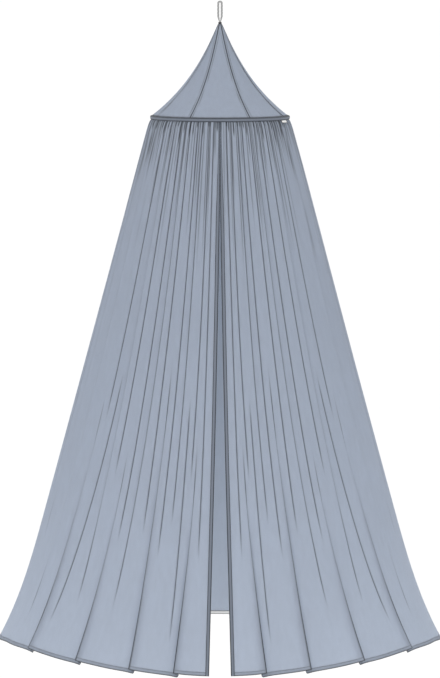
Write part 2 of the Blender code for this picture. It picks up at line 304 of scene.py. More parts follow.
@dataclass(frozen=True)
class WovenFinish:
    """Plain woven strip or tape: square weave, soft fibres, painted shade at turned edges."""

    name: str
    colour: tuple[float, float, float]
    pitch: float = 0.0009
    roughness: float = 0.85
    shade_and_seam_depth: float = 0.6

    def build(self) -> bpy.types.Material:
        """Makes the material."""
        graph = Graph(self.name)
        across, down = graph.plan()
        place = graph.place()
        turns = math.pi / self.pitch
        weave = ((across * turns).sine() * (down * turns).sine()).size()
        fibres = graph.noise(place, 900.0, 2.0)
        cloudy = graph.noise(place, 16.0, 2.0)
        # Shade painted from the mesh's tone along turned and folded edges.
        crease = graph.attribute(PAINTED_SHADE_AND_SEAMS).clamped()
        tone = 0.90 + weave * 0.12 + (fibres - 0.5) * 0.10 + (cloudy - 0.5) * 0.08
        shade = tone * (1.0 - crease * self.shade_and_seam_depth)
        normal = graph.bump(weave * 0.8 + fibres * 0.2, 0.0002, 0.7)
        roughness = self.roughness + (fibres - 0.5) * 0.1
        return graph.finish(graph.surface(self.colour, shade, roughness, normal, 0.08, 0.25))


@dataclass(frozen=True)
class FibreFinish:
    """Spun cotton, thread or cord: fine fibres laid along and across the strand."""

    name: str
    colour: tuple[float, float, float]
    roughness: float = 0.8
    scale: float = 1400.0
    contrast: float = 0.25
    shade_and_seam_depth: float = 0.7

    def build(self) -> bpy.types.Material:
        """Makes the material."""
        graph = Graph(self.name)
        place = graph.place()
        fine = graph.noise(place, self.scale, 3.0)
        broad = graph.noise(place, self.scale / 12.0, 2.0)
        # Shade painted from the mesh's tone into the grooves between strands and turns.
        crease = graph.attribute(PAINTED_SHADE_AND_SEAMS).clamped()
        tone = 1.0 + (fine - 0.5) * self.contrast + (broad - 0.5) * 0.12
        shade = tone * (1.0 - crease * self.shade_and_seam_depth)
        normal = graph.bump(fine, 0.0002, 0.6)
        roughness = self.roughness + (fine - 0.5) * 0.1
        return graph.finish(graph.surface(self.colour, shade, roughness, normal, 0.05, 0.3))


@dataclass(frozen=True)
class RodFinish:
    """Drawn plastic rod: smooth, with faint lengthwise drawing marks and scuffs."""

    name: str = "rod_plastic"
    colour: tuple[float, float, float] = (0.80, 0.80, 0.78)

    def build(self) -> bpy.types.Material:
        """Makes the material."""
        graph = Graph(self.name)
        place = graph.place()
        marks = graph.noise(graph.stretched(place, (1.0, 1.0, 30.0)), 40.0, 3.0)
        scuffs = graph.noise(place, 55.0, 4.0)
        shade = 0.96 + (marks - 0.5) * 0.10 + (scuffs - 0.5) * 0.06
        normal = graph.bump(marks, 0.00015, 0.4)
        return graph.finish(graph.surface(self.colour, shade, 0.38 + scuffs * 0.2, normal))


@dataclass(frozen=True)
class FloorFinish:
    """Plain pale studio floor."""

    name: str = "studio_floor"
    colour: tuple[float, float, float] = (0.95, 0.95, 0.95)

    def build(self) -> bpy.types.Material:
        """Makes the material."""
        graph = Graph(self.name)
        shader = graph.node("ShaderNodeBsdfPrincipled", None, {
            "Base Color": (*self.colour, 1.0),
            "Roughness": 0.9,
            "Specular IOR Level": 0.0,
        })[0]
        return graph.finish(shader)


class Finish(Enum):
    """The finishes of the canopy's own pieces."""

    NET = NetFinish()
    TRIM = WovenFinish("woven_tape", (0.145, 0.165, 0.202), shade_and_seam_depth=0.8)
    COTTON = WovenFinish("plain_cotton", (0.74, 0.74, 0.73), shade_and_seam_depth=0.9)
    CORD = FibreFinish("laid_cord", (0.33, 0.33, 0.33), shade_and_seam_depth=0.85)
    WHIPPING = FibreFinish("waxed_thread", (0.030, 0.030, 0.035), 0.6, 2200.0, 0.5)
    STITCH = FibreFinish("stitch_thread", (0.07, 0.08, 0.10), 0.65, 2600.0, 0.4)
    ROD = RodFinish()

    def material(self) -> bpy.types.Material:
        """The finish's material, made once."""
        ready = bpy.data.materials.get(self.value.name)
        return ready or self.value.build()


def unit(vectors: np.ndarray) -> np.ndarray:
    """Vectors at length 1."""
    return vectors / np.maximum(np.linalg.norm(vectors, axis=-1, keepdims=True), 1e-12)


def smooth(value: np.ndarray | float) -> np.ndarray:
    """0 below 0, 1 above 1 and an even curve between."""
    value = np.clip(value, 0.0, 1.0)
    return value * value * (3.0 - 2.0 * value)


def bell(distance: np.ndarray, width: float | np.ndarray) -> np.ndarray:
    """1 at a distance of 0, falling away over a width."""
    return np.exp(-(distance / width) ** 2)


def grid_normals(grid: np.ndarray) -> np.ndarray:
    """The mean normal at each point of a grid whose rows run down and columns along."""
    down = grid[1:, :-1] - grid[:-1, :-1] + grid[1:, 1:] - grid[:-1, 1:]
    along = grid[:-1, 1:] - grid[:-1, :-1] + grid[1:, 1:] - grid[1:, :-1]
    faces = unit(np.cross(down, along))
    total = np.zeros_like(grid)
    for row_shift in (0, 1):
        for column_shift in (0, 1):
            rows = slice(row_shift, row_shift + faces.shape[0])
            columns = slice(column_shift, column_shift + faces.shape[1])
            total[rows, columns] += faces
    return unit(total)


@dataclass
class MeshPlan:
    """Points, faces, plan places and painted shade tones of a piece in the making."""

    points: list[np.ndarray] = field(default_factory=list)
    faces: list[np.ndarray] = field(default_factory=list)
    flats: list[np.ndarray] = field(default_factory=list)
    tones: list[np.ndarray] = field(default_factory=list)
    count: int = 0

    def add(self, points: np.ndarray, faces: np.ndarray, flat: np.ndarray,
            tone: np.ndarray) -> None:
        """Adds a stretch of mesh.

        Args:
            points: Its points.
            faces: Its quads, as indices into its own points.
            flat: Each point's place on the flat plan, in metres.
            tone: Each point's painted shade, and its darkness along seams.
        """
        self.points.append(points.reshape(-1, 3))
        self.faces.append(faces.reshape(-1, 4) + self.count)
        self.flats.append(flat.reshape(-1, 2))
        self.tones.append(np.broadcast_to(tone, points.shape[:-1]).reshape(-1))
        self.count += self.points[-1].shape[0]

    def build(self, name: str, finish: Finish, flat_angle: float = 60.0) -> bpy.types.Object:
        """Makes the object.

        Args:
            name: Its name.
            finish: Its finish.
            flat_angle: The angle past which an edge is sharp, in degrees.

        Returns:
            The object, riding on the canopy's one body.
        """
        points = np.concatenate(self.points)
        faces = np.concatenate(self.faces)
        mesh = bpy.data.meshes.new(name)
        mesh.from_pydata(points.tolist(), [], faces.tolist())
        corners = np.empty(len(mesh.loops), np.int32)
        mesh.loops.foreach_get("vertex_index", corners)
        flat = np.concatenate(self.flats)[corners] / UV_SPAN + 0.5
        mesh.uv_layers.new(name=WEAVE_UV).data.foreach_set("uv", flat.astype(np.float32).ravel())
        tone = mesh.attributes.new(PAINTED_SHADE_AND_SEAMS, "FLOAT", "POINT")
        tone.data.foreach_set("value", np.concatenate(self.tones).astype(np.float32))
        mesh.shade_smooth()
        mesh.set_sharp_from_angle(angle=math.radians(flat_angle))
        mesh.materials.append(finish.material())
        return placed(name, mesh)


def placed(name: str, mesh: bpy.types.Mesh) -> bpy.types.Object:
    """Links a mesh as a named object that rides on the body and reports it."""
    item = bpy.data.objects.new(name, mesh)
    bpy.context.scene.collection.objects.link(item)
    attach(item, BODY)
    LOG.info("%s: %d faces", name, len(mesh.polygons))
    return item


def sheet_faces(rows: int, columns: int) -> np.ndarray:
    """Quads of a closed sheet: an outer grid, an inner grid and the rim between them.

    Args:
        rows: The grids' rows.
        columns: The grids' columns.

    Returns:
        The quads, for points laid out as the outer grid and then the inner.
    """
    count = rows * columns
    index = np.arange(count).reshape(rows, columns)
    outer = np.stack([index[:-1, :-1], index[1:, :-1], index[1:, 1:], index[:-1, 1:]], -1)
    outer = outer.reshape(-1, 4)
    inner = outer[:, ::-1] + count
    rim = np.concatenate([index[0, :], index[1:, -1], index[-1, -2::-1], index[-2:0:-1, 0]])
    after = np.roll(rim, -1)
    wall = np.stack([rim, after, after + count, rim + count], -1)
    return np.concatenate([outer, inner, wall])


def sheet_plan(outer: np.ndarray, inner: np.ndarray, flat: np.ndarray,
               tone: np.ndarray) -> MeshPlan:
    """A closed sheet between two grids."""
    plan = MeshPlan()
    both = np.stack([outer, inner])
    plan.add(both, sheet_faces(*outer.shape[:2]), np.stack([flat, flat]), np.stack([tone, tone]))
    return plan


def swept_faces(sections: int, size: int, ring: bool) -> np.ndarray:
    """Quads of a closed section swept along a route.

    Args:
        sections: How many sections there are.
        size: How many points a section has.
        ring: Whether the last section joins the first.

    Returns:
        The quads, without end caps.
    """
    index = np.arange(sections * size).reshape(sections, size)
    here = index if ring else index[:-1]
    there = np.roll(index, -1, axis=0) if ring else index[1:]
    return np.stack([here, there, np.roll(there, -1, axis=1), np.roll(here, -1, axis=1)],
                    -1).reshape(-1, 4)


def cap_faces(first: int, size: int, flip: bool) -> np.ndarray:
    """Quads that close the end of a strip-like section, from its two ends inwards."""
    quads = []
    for step in range(size // 2 - 1):
        quad = [first + step, first + step + 1, first + size - 2 - step, first + size - 1 - step]
        quads.append(quad[::-1] if flip else quad)
    return np.array(quads)


# ---------------------------------------------------------------- the skirt's shape


INTO_HEM = 9.0               # the end of a fold that runs out through the hem
SWING = 0.04                 # half way down, a fold has swung this share of the way back
SWING_CENTRE = 26.0          # towards this bearing from where it started at the hoop


@dataclass(frozen=True)
class Course:
    """Where a fold or crease runs: its bearings at the hoop and hem, and a swing between.

    Half way down it has swung a share of the way back towards a bearing common to all.
    """

    ring: float
    hem: float

    @property
    def middle(self) -> float:
        """Its bearing half way down."""
        return self.ring + SWING * (SWING_CENTRE - self.ring)

    def bearing(self, drop: np.ndarray) -> np.ndarray:
        """Its bearing from its panel's centre line."""
        bend = 2.0 * (self.hem - 2.0 * self.middle + self.ring)
        return self.ring + (self.hem - self.ring - bend) * drop + bend * drop * drop


@dataclass(frozen=True)
class Fold(Course):
    """A main fold, which shows between two drops. A leaning one lies over as it faces."""

    start: float
    end: float
    depth: float
    lean: float
    droop: float
    width: float

    def strength(self, drop: np.ndarray) -> np.ndarray:
        """0 where the fold has died out, 1 where it is whole."""
        rise = smooth((drop - self.start) / (1.0 - self.start if self.end > 1.0 else 0.12))
        return rise * smooth((self.end - drop) / 0.25)


@dataclass(frozen=True)
class Line(Course):
    """A crease pressed into the cloth, with shade painted along it between two drops."""

    start: float
    end: float
    # how dark the shade painted along the crease is
    tone: float = 0.76

    def strength(self, drop: np.ndarray) -> np.ndarray:
        """How much of the crease shows at a drop."""
        rise = smooth((drop - self.start) / 0.06) if self.start > 0.0 else 1.0
        return rise * smooth((self.end - drop) / 0.06)


FRONT_FOLDS = (
    Fold(7.0, 11.5, 0.58, INTO_HEM, 0.0085, 0.0180, 0.0082, 0.50),
    Fold(14.0, 17.5, 0.02, 0.75, 0.0030, 0.0, 0.0, 0.80),
    Fold(20.5, 23.5, 0.44, INTO_HEM, 0.0090, 0.0190, 0.0082, 0.50),
    Fold(28.0, 33.5, 0.02, 0.90, 0.0035, 0.0, 0.0, 0.80),
    Fold(35.0, 39.5, 0.60, INTO_HEM, 0.0100, 0.0200, 0.0085, 0.50),
    Fold(42.5, 46.5, 0.02, 0.90, 0.0035, 0.0, 0.0, 0.80),
    Fold(53.0, 57.5, 0.50, INTO_HEM, 0.0110, 0.0210, 0.0085, 0.50),
    Fold(63.5, 67.5, 0.02, 0.97, 0.0035, 0.0, 0.0, 0.80),
    Fold(74.5, 76.0, 0.02, 0.82, 0.0035, 0.0, 0.0, 0.80),
)
BACK_FOLDS = (
    Fold(5.0, 8.5, 0.40, INTO_HEM, 0.0080, 0.0, 0.0050, 1.40),
    Fold(15.0, 19.5, 0.55, INTO_HEM, 0.0090, 0.0180, 0.0080, 0.50),
    Fold(24.0, 27.0, 0.02, 0.85, 0.0035, 0.0, 0.0, 0.80),
    Fold(33.0, 37.0, 0.45, INTO_HEM, 0.0100, 0.0200, 0.0080, 0.50),
    Fold(42.0, 44.5, 0.02, 0.80, 0.0035, 0.0, 0.0, 0.80),
    Fold(50.5, 55.5, 0.58, INTO_HEM, 0.0090, 0.0190, 0.0085, 0.50),
    Fold(59.5, 63.0, 0.02, 0.90, 0.0035, 0.0, 0.0, 0.80),
    Fold(68.0, 73.0, 0.50, INTO_HEM, 0.0100, 0.0200, 0.0085, 0.50),
    Fold(79.5, 81.5, 0.02, 0.85, 0.0035, 0.0, 0.0, 0.80),
)
FRONT_LINES = (
    Line(5.0, 7.0, 0.0, 0.80),
    Line(8.5, 13.0, 0.0, 0.66),
    Line(11.0, 14.5, 0.50, 0.95),
    Line(14.0, 17.5, 0.0, 0.74),
    Line(17.5, 20.5, 0.0, 0.80),
    Line(24.0, 27.5, 0.0, 0.76),
    Line(28.0, 33.5, 0.0, 0.90),
    Line(32.0, 36.5, 0.0, 0.78),
    Line(38.5, 44.0, 0.0, 0.66),
    Line(42.5, 46.5, 0.0, 0.90),
    Line(45.5, 55.0, 0.46, 0.95),
    Line(49.5, 56.0, 0.0, 0.56),
    Line(63.5, 67.5, 0.0, 0.95),
    Line(74.5, 76.0, 0.0, 0.80),
    Line(81.5, 82.5, 0.0, 0.72, 0.5),
    Line(86.5, 87.5, 0.0, 0.66, 0.4),
)
BACK_LINES = (
    Line(2.0, 3.5, 0.0, 0.62),
    Line(9.5, 13.5, 0.0, 0.74),
    Line(19.5, 23.0, 0.0, 0.80),
    Line(24.0, 27.0, 0.0, 0.85),
    Line(28.5, 32.0, 0.0, 0.66),
    Line(37.5, 40.5, 0.0, 0.78),
    Line(42.0, 44.5, 0.0, 0.84),
    Line(46.0, 49.5, 0.0, 0.70),
    Line(54.5, 59.0, 0.0, 0.80),
    Line(59.5, 63.0, 0.0, 0.90),
    Line(64.0, 68.0, 0.0, 0.68),
    Line(73.5, 77.0, 0.0, 0.78),
    Line(79.5, 81.5, 0.0, 0.85),
    Line(84.5, 86.0, 0.0, 0.70, 0.5),
)


class Side(Enum):
    """The left or the right of the canopy, seen from the front."""

    LEFT = -1.0
    RIGHT = 1.0


class End(Enum):
    """The front or the back of the canopy, with its centre line's bearing."""

    FRONT = 0.0
    BACK = 180.0

    @property
    def folds(self) -> tuple[Fold, ...]:
        """The main folds of this end's panels."""
        return FRONT_FOLDS if self is End.FRONT else BACK_FOLDS

    @property
    def lines(self) -> tuple[Line, ...]:
        """The creases of this end's panels."""
        return FRONT_LINES if self is End.FRONT else BACK_LINES


@dataclass(frozen=True)
class Gather:
    """One short tuck or fine pleat that starts at the hoop."""

    bearing: float
    length: float
    width: float
    depth: float
    # how dark the shade painted into the tuck or pleat is
    tone: float


@dataclass
class Relief:
    """What folds and creases do to each point of cloth: how they move it and paint shade on it."""

    out: np.ndarray
    along: np.ndarray
    down: np.ndarray
    tone: np.ndarray
    curl: np.ndarray
    curl_along: np.ndarray

    @classmethod
    def like(cls, bearing: np.ndarray) -> "Relief":
        """Cloth without folds."""
        return cls(*(np.zeros_like(bearing) for _ in range(6)))

    def darken(self, tone: np.ndarray) -> None:
        """Keeps the darker of two tones at each point."""
        self.tone = np.maximum(self.tone, tone)


@dataclass
class SkirtShape:
    """The whole skirt's surface: its flare, hem line, folds, creases and gathers."""

    top: float = -0.4192
    drop: float = 1.9055
    radius: float = 0.2535
    slope: float = 0.268
    shoulder: float = 0.005
    shoulder_drop: float = 0.010
    flare: float = 0.040
    flare_start: float = 0.74
    flare_power: float = 3.2
    fold_reach: float = 20.0
    lean_share: float = 0.75
    hem_height: float = 0.012
    curl_height: float = 0.015
    curl_turn: float = 75.0
    curl_aside: float = 0.003
    lip_shadow_width: float = 0.0021
    trough: float = 0.0022
    trough_width: float = 0.0021
    ridge: float = 0.0010
    ridge_aside: float = 0.0050
    ridge_width: float = 0.0030
    crease_shade_width: float = 0.0014
    crease_share_seen_aslant: float = 0.35
    hem_edge_shade_width: float = 0.0024
    hem_stitch_width: float = 0.0014
    hem_stitch_tone: float = 0.32
    broad_waves: tuple[tuple[float, float, float, float], ...] = (
        (0.0011, 9.0, 1.3, 3.1), (0.0008, 17.0, 0.4, -2.3), (0.0006, 29.0, 2.2, 1.7))
    broad_waves_whole: float = 0.15
    opening_start: float = 0.13
    opening_half_width: float = 0.0365
    closed_half_width: float = 0.0006
    gather_count: int = 124
    pleat_count: int = 170
    gather_wander: float = 0.36
    gather_least: float = 0.022
    gather_more: float = 0.085
    gather_bunching: float = 2.2
    gather_widths: tuple[float, float] = (0.0018, 0.0030)
    gather_depths: tuple[float, float] = (0.0014, 0.0026)
    gather_shade_tones: tuple[float, float] = (0.75, 1.0)
    pleat_wander: float = 0.42
    pleat_least: float = 0.12
    pleat_more: float = 0.48
    pleat_bunching: float = 1.5
    pleat_width: float = 0.0016
    pleat_depth: float = 0.0007
    pleat_shade_tones: tuple[float, float] = (0.42, 0.70)
    seed: int = 11

    hem_lift: tuple[tuple[float, float], ...] = (
        (0.0, 0.004), (12.0, 0.007), (24.0, 0.013), (41.0, 0.026), (58.0, 0.040),
        (72.0, 0.038), (90.0, 0.018), (120.0, 0.000), (150.0, -0.012), (180.0, -0.020),
    )

    def __post_init__(self) -> None:
        """Draws the gathers, which differ in place, length and depth."""
        chance = np.random.default_rng(self.seed)
        self.gathers: list[Gather] = []
        for index in range(self.gather_count):
            wander = self.gather_wander * chance.uniform(-1.0, 1.0)
            bearing = (index + 0.5 + wander) * 360.0 / self.gather_count
            length = self.gather_least + self.gather_more * chance.random() ** self.gather_bunching
            self.gathers.append(Gather(bearing, length, chance.uniform(*self.gather_widths),
                                       chance.uniform(*self.gather_depths),
                                       chance.uniform(*self.gather_shade_tones)))
        for index in range(self.pleat_count):
            wander = self.pleat_wander * chance.uniform(-1.0, 1.0)
            bearing = (index + 0.5 + wander) * 360.0 / self.pleat_count
            length = self.pleat_least + self.pleat_more * chance.random() ** self.pleat_bunching
            self.gathers.append(Gather(bearing, length, self.pleat_width, self.pleat_depth,
                                       chance.uniform(*self.pleat_shade_tones)))

    def lift_at(self, bearing: np.ndarray) -> np.ndarray:
        """How far the hem is lifted at a bearing."""
        bearing = np.abs((bearing + 180.0) % 360.0 - 180.0)
        lift = np.zeros_like(bearing)
        for (low, low_lift), (high, high_lift) in zip(self.hem_lift, self.hem_lift[1:]):
            share = smooth((bearing - low) / (high - low))
            inside = (bearing >= low) & (bearing <= high)
            lift = np.where(inside, low_lift + (high_lift - low_lift) * share, lift)
        return lift

    def radius_at(self, drop: np.ndarray, bearing: np.ndarray) -> np.ndarray:
        """The cloth's distance from the axis before its folds."""
        down = drop * self.drop
        past = np.maximum(0.0, (drop - self.flare_start) / (1.0 - self.flare_start))
        sideways = 1.0 - 0.75 * np.cos(np.radians(bearing)) ** 2
        tuck = self.shoulder * np.exp(-down / self.shoulder_drop)
        return (self.radius + self.slope * down - tuck
                + self.flare * past ** self.flare_power * sideways)

    def slope_at(self, drop: np.ndarray, bearing: np.ndarray) -> np.ndarray:
        """How far the cloth runs outwards for each metre that it goes down."""
        step = 0.001
        spread = self.radius_at(drop + step, bearing) - self.radius_at(drop - step, bearing)
        return spread / (2.0 * step * self.drop)

    def opening_at(self, drop: np.ndarray) -> np.ndarray:
        """Half the distance between the two bound front edges."""
        opened = np.maximum(0.0, (drop - self.opening_start) / (1.0 - self.opening_start))
        return self.closed_half_width + self.opening_half_width * opened ** 1.25

    @staticmethod
    def away(bearing: np.ndarray, centre: np.ndarray) -> np.ndarray:
        """Bearings measured from a centre, between -180 and 180."""
        return (bearing - centre + 180.0) % 360.0 - 180.0

    def surface(self, drop: np.ndarray, bearing: np.ndarray) -> tuple[np.ndarray, np.ndarray]:
        """The outer face of the skirt.

        Args:
            drop: One drop for each row, as a column of numbers.
            bearing: The bearings of each row's points.

        Returns:
            The points, and each one's tone: shade painted at folds, creases, gathers and hem edge.
        """
        drop = np.asarray(drop, float).reshape(-1, 1)
        plain = self.radius_at(drop, bearing)
        relief = Relief.like(bearing)
        for end in End:
            for side in Side:
                way = side.value if end is End.FRONT else -side.value
                for fold in end.folds:
                    away = self.away(bearing, end.value + way * fold.bearing(drop))
                    self._fold(relief, fold, way, drop, away, plain)
                for line in end.lines:
                    where = end.value + way * line.bearing(drop)
                    aside = np.radians(self.away(bearing, where)) * plain
                    self._crease(relief, line, drop, where, aside)
        self._gather(drop, bearing, plain, relief)
        relief.out += self._unevenness(drop, bearing)
        radius = plain + relief.out + relief.down * self.slope_at(drop, bearing)
        height = self.top - self.drop * drop + self.lift_at(bearing) * drop ** 3 - relief.down
        self._curl_hem(drop, relief, radius, height)
        above = (1.0 - drop) * self.drop
        # Shade painted along the hem's folded edge, and the cloth darker along its stitch row.
        relief.darken(bell(above, self.hem_edge_shade_width))
        stitched = bell(above - self.hem_height, self.hem_stitch_width)
        relief.darken(self.hem_stitch_tone * stitched)
        angle = np.radians(bearing)
        points = np.stack([radius * np.sin(angle) + relief.along * np.cos(angle),
                           -radius * np.cos(angle) + relief.along * np.sin(angle),
                           height + np.zeros_like(bearing)], -1)
        return points, np.clip(relief.tone, 0.0, 1.0)

    def _fold(self, relief: Relief, fold: Fold, way: float, drop: np.ndarray,
              away: np.ndarray, plain: np.ndarray) -> None:
        """Lays one main fold into the cloth and paints a shadow along a leaning fold's lip.

        Args:
            relief: What it adds to.
            fold: The fold.
            way: 1 where bearings grow away from the panel's centre line, else -1.
            drop: One drop for each row.
            away: Each point's bearing from the fold.
            plain: Each point's radius before the folds.
        """
        near = np.abs(away) < self.fold_reach
        reach = np.where(near, (1.0 - (away / self.fold_reach) ** 2) ** 2, 0.0)
        whole = fold.strength(drop)
        strength = whole * reach
        across = way * away / fold.width
        wave = -2.0 * across / (1.0 + across * across)
        late = across - 0.5
        droop = 2.0 * late / (1.0 + late * late)
        relief.out += fold.depth * strength * wave
        relief.along += way * self.lean_share * fold.lean * strength * wave
        relief.down += fold.droop * strength * droop * drop ** 6
        if fold.lean:
            # A shadow line is painted along the lip of a leaning fold.
            shown = smooth((drop - fold.start) / 0.10)
            aside = (across + whole) * fold.width * np.radians(1.0) * plain
            relief.darken(shown * bell(aside, self.lip_shadow_width) * near)
            corner = bell(across - 0.60, 0.70) * near
            relief.curl += corner
            relief.curl_along -= way * corner

    def _crease(self, relief: Relief, line: Line, drop: np.ndarray, where: np.ndarray,
                aside: np.ndarray) -> None:
        """Presses one crease into the cloth: a trough between two soft ridges.

        Args:
            relief: What it adds to.
            line: The crease.
            drop: One drop for each row.
            where: The crease's bearing in each row.
            aside: Each point's distance from it.
        """
        strength = line.strength(drop)
        least = self.crease_share_seen_aslant
        facing_front = np.abs(np.cos(np.radians(where)))
        wide = self.crease_shade_width / (least + (1.0 - least) * facing_front)
        relief.out += strength * (
            self.ridge * bell(np.abs(aside) - self.ridge_aside, self.ridge_width)
            - self.trough * bell(aside, self.trough_width))
        # Shade painted along the trough, wider where the crease is seen aslant.
        relief.darken(line.tone * strength * bell(aside, wide))

    def _gather(self, drop: np.ndarray, bearing: np.ndarray, plain: np.ndarray,
                relief: Relief) -> None:
        """Presses the gathers into the cloth under the hoop and paints shade into their dents."""
        down = drop * self.drop
        for gather in self.gathers:
            live = down[:, 0] < gather.length
            fade = smooth((gather.length - down[live]) / (0.55 * gather.length))
            aside = np.radians(self.away(bearing[live], gather.bearing)) * plain[live]
            dent = fade * bell(aside, gather.width)
            relief.out[live] -= gather.depth * dent
            relief.tone[live] = np.maximum(relief.tone[live], gather.tone * dent)

    def _unevenness(self, drop: np.ndarray, bearing: np.ndarray) -> np.ndarray:
        """Slight broad waves, so that no two stretches of cloth hang alike."""
        angle = np.radians(bearing)
        wave = sum(depth * np.sin(count * angle + start + twist * drop)
                   for depth, count, start, twist in self.broad_waves)
        return wave * smooth(drop / self.broad_waves_whole)

    def _curl_hem(self, drop: np.ndarray, relief: Relief, radius: np.ndarray,
                  height: np.ndarray) -> None:
        """Rolls the hem outwards at the corner of each leaning fold, so its lining shows."""
        past = np.maximum(0.0, self.curl_height - (1.0 - drop) * self.drop)
        turn = np.radians(self.curl_turn) * np.minimum(relief.curl, 1.0) + 1e-6
        share = past / self.curl_height
        height += past - self.curl_height * np.sin(turn * share) / turn
        radius += self.curl_height * (1.0 - np.cos(turn * share)) / turn
        relief.along += self.curl_aside * relief.curl_along * share ** 2


@dataclass
class SkirtPanel:
    """One of the skirt's four panels, from a centre line to a side seam."""

    shape: SkirtShape
    end: End
    side: Side
    thickness: float = 0.0006
    binding_width: float = 0.0124
    binding_wall: float = 0.0009
    middle_columns: int = 6
    first_row: float = 0.0016
    row_growth: float = 0.085
    tallest_row: float = 0.0175
    least_last_row: float = 0.004
    hem_rows: int = 8
    gather_ratio: float = 1.6
    fall_stretch: float = 1.034
    facing_depth: float = 0.0005
    seam_gap: float = 0.00001
    crease_columns: tuple[float, ...] = (0.16, 0.36, 0.62)
    fold_columns: tuple[float, ...] = (0.12, 0.25, 0.38, 0.52, 0.72, 1.0, 1.5)
    share_of_room: float = 0.42
    stitch_lift: float = 0.0001

    @property
    def name(self) -> str:
        """The panel's own name, such as front_left."""
        return f"{self.end.name.lower()}_{self.side.name.lower()}"

    @property
    def way(self) -> float:
        """1 where bearings grow from the centre line to the side seam, else -1."""
        return self.side.value if self.end is End.FRONT else -self.side.value

    def drops(self) -> np.ndarray:
        """The rows' drops: close together under the hoop and at the hem."""
        keep = self.shape.drop - self.shape.curl_height
        down = [0.0]
        while down[-1] < keep - self.least_last_row:
            down.append(down[-1] + min(self.tallest_row,
                                       self.first_row + self.row_growth * down[-1]))
        stretch = keep / down[-1]
        rows = [value * stretch for value in down]
        rows += [keep + self.shape.curl_height * step / self.hem_rows
                 for step in range(1, self.hem_rows + 1)]
        return np.array(rows) / self.shape.drop

    def edge_bearings(self, drops: np.ndarray) -> tuple[np.ndarray, np.ndarray]:
        """The panel's two long edges, as angles from its centre line.

        Args:
            drops: The rows' drops.

        Returns:
            The centre edge's angles and the side seam's angles.
        """
        radius = self.shape.radius_at(drops, np.zeros_like(drops))
        seam = np.degrees(self.seam_gap / radius)
        if self.end is End.BACK:
            return seam, 90.0 - seam
        wide = self.shape.opening_at(drops) + self.binding_wall + GAP
        return np.degrees(np.arcsin(wide / radius)), 90.0 - seam

    def bearings(self, drops: np.ndarray) -> np.ndarray:
        """Every column's bearing in each row; columns follow the folds and creases."""
        first, last = self.edge_bearings(drops)
        fine, bold = self.crease_columns, self.fold_columns
        marks = [(fold, bold) for fold in self.end.folds if fold.lean or fold.droop]
        marks += [(line, fine) for line in self.end.lines]
        marks.sort(key=lambda mark: mark[0].middle)
        guides = [(first, fine), *((mark.bearing(drops), steps) for mark, steps in marks),
                  (last, fine)]
        columns = [first]
        for (low, low_steps), (high, high_steps) in zip(guides, guides[1:]):
            width = high - low
            low_scale = np.minimum(1.0, self.share_of_room * width / low_steps[-1])
            high_scale = np.minimum(1.0, self.share_of_room * width / high_steps[-1])
            columns += [low + step * low_scale for step in low_steps]
            left = low + low_steps[-1] * low_scale
            right = high - high_steps[-1] * high_scale
            for step in range(1, self.middle_columns):
                columns.append(left + (right - left) * step / self.middle_columns)
            columns += [high - step * high_scale for step in reversed(high_steps)]
            columns.append(high)
        grid = self.end.value + self.way * np.stack(columns, -1)
        return grid if self.way > 0.0 else grid[:, ::-1]

    def build(self) -> list[bpy.types.Object]:
        """Makes the panel and the facing inside its hem.

        Returns:
            The panel and its hem facing.
        """
        drops = self.drops()
        bearings = self.bearings(drops)
        grid, tone = self.shape.surface(drops, bearings)
        normals = grid_normals(grid)
        radius = self.shape.radius_at(drops, np.zeros_like(drops))[:, None]
        middle = self.end.value + self.way * 45.0
        flat = np.stack([np.radians(bearings - middle) * radius,
                         np.broadcast_to(-self.fall_stretch * drops[:, None] * self.shape.drop,
                                         bearings.shape)], -1)
        plan = sheet_plan(grid, grid - normals * self.thickness, flat, tone)
        panel = plan.build(f"net_{self.name}", Finish.NET)
        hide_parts(f"skirt_{self.name}")
        facing = self._facing(drops, grid, normals, flat)
        return [panel, facing]

    def _facing(self, drops: np.ndarray, grid: np.ndarray, normals: np.ndarray,
                flat: np.ndarray) -> bpy.types.Object:
        """The white strip inside the hem."""
        above = (1.0 - drops) * self.shape.drop
        rows = slice(int(np.argmax(above < self.shape.hem_height + 0.0012)), None)
        skip = 3 if self.end is End.FRONT else 0
        columns = slice(skip if self.way > 0.0 else 0, None if self.way > 0.0 else -skip or None)
        face = grid[rows, columns] - normals[rows, columns] * (self.thickness + 0.0001)
        back = face - normals[rows, columns] * self.facing_depth
        reach = above[rows][:, None] + np.zeros(face.shape[:2])
        # Shade painted along its folded bottom edge; darker too at its top edge, by the stitch
        # row.
        edges = np.maximum(bell(reach, 0.0030), bell(reach - reach[0, 0], 0.0026))
        plan = sheet_plan(face, back, flat[rows, columns], 0.95 * edges)
        facing = plan.build(f"hem_lining_{self.name}", Finish.COTTON)
        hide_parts(f"{self.name}_hem_facing")
        return facing

    def hem_guide(self) -> tuple[np.ndarray, np.ndarray]:
        """Where the hem's stitches run, and which way they face."""
        drops = np.array([1.0 - (self.shape.hem_height + step) / self.shape.drop
                          for step in (0.001, 0.0, -0.001)])
        grid, _ = self.shape.surface(drops, self.bearings(drops)[:, ::2])
        normals = grid_normals(grid)
        return grid[1, 2:-2] + normals[1, 2:-2] * self.stitch_lift, normals[1, 2:-2]


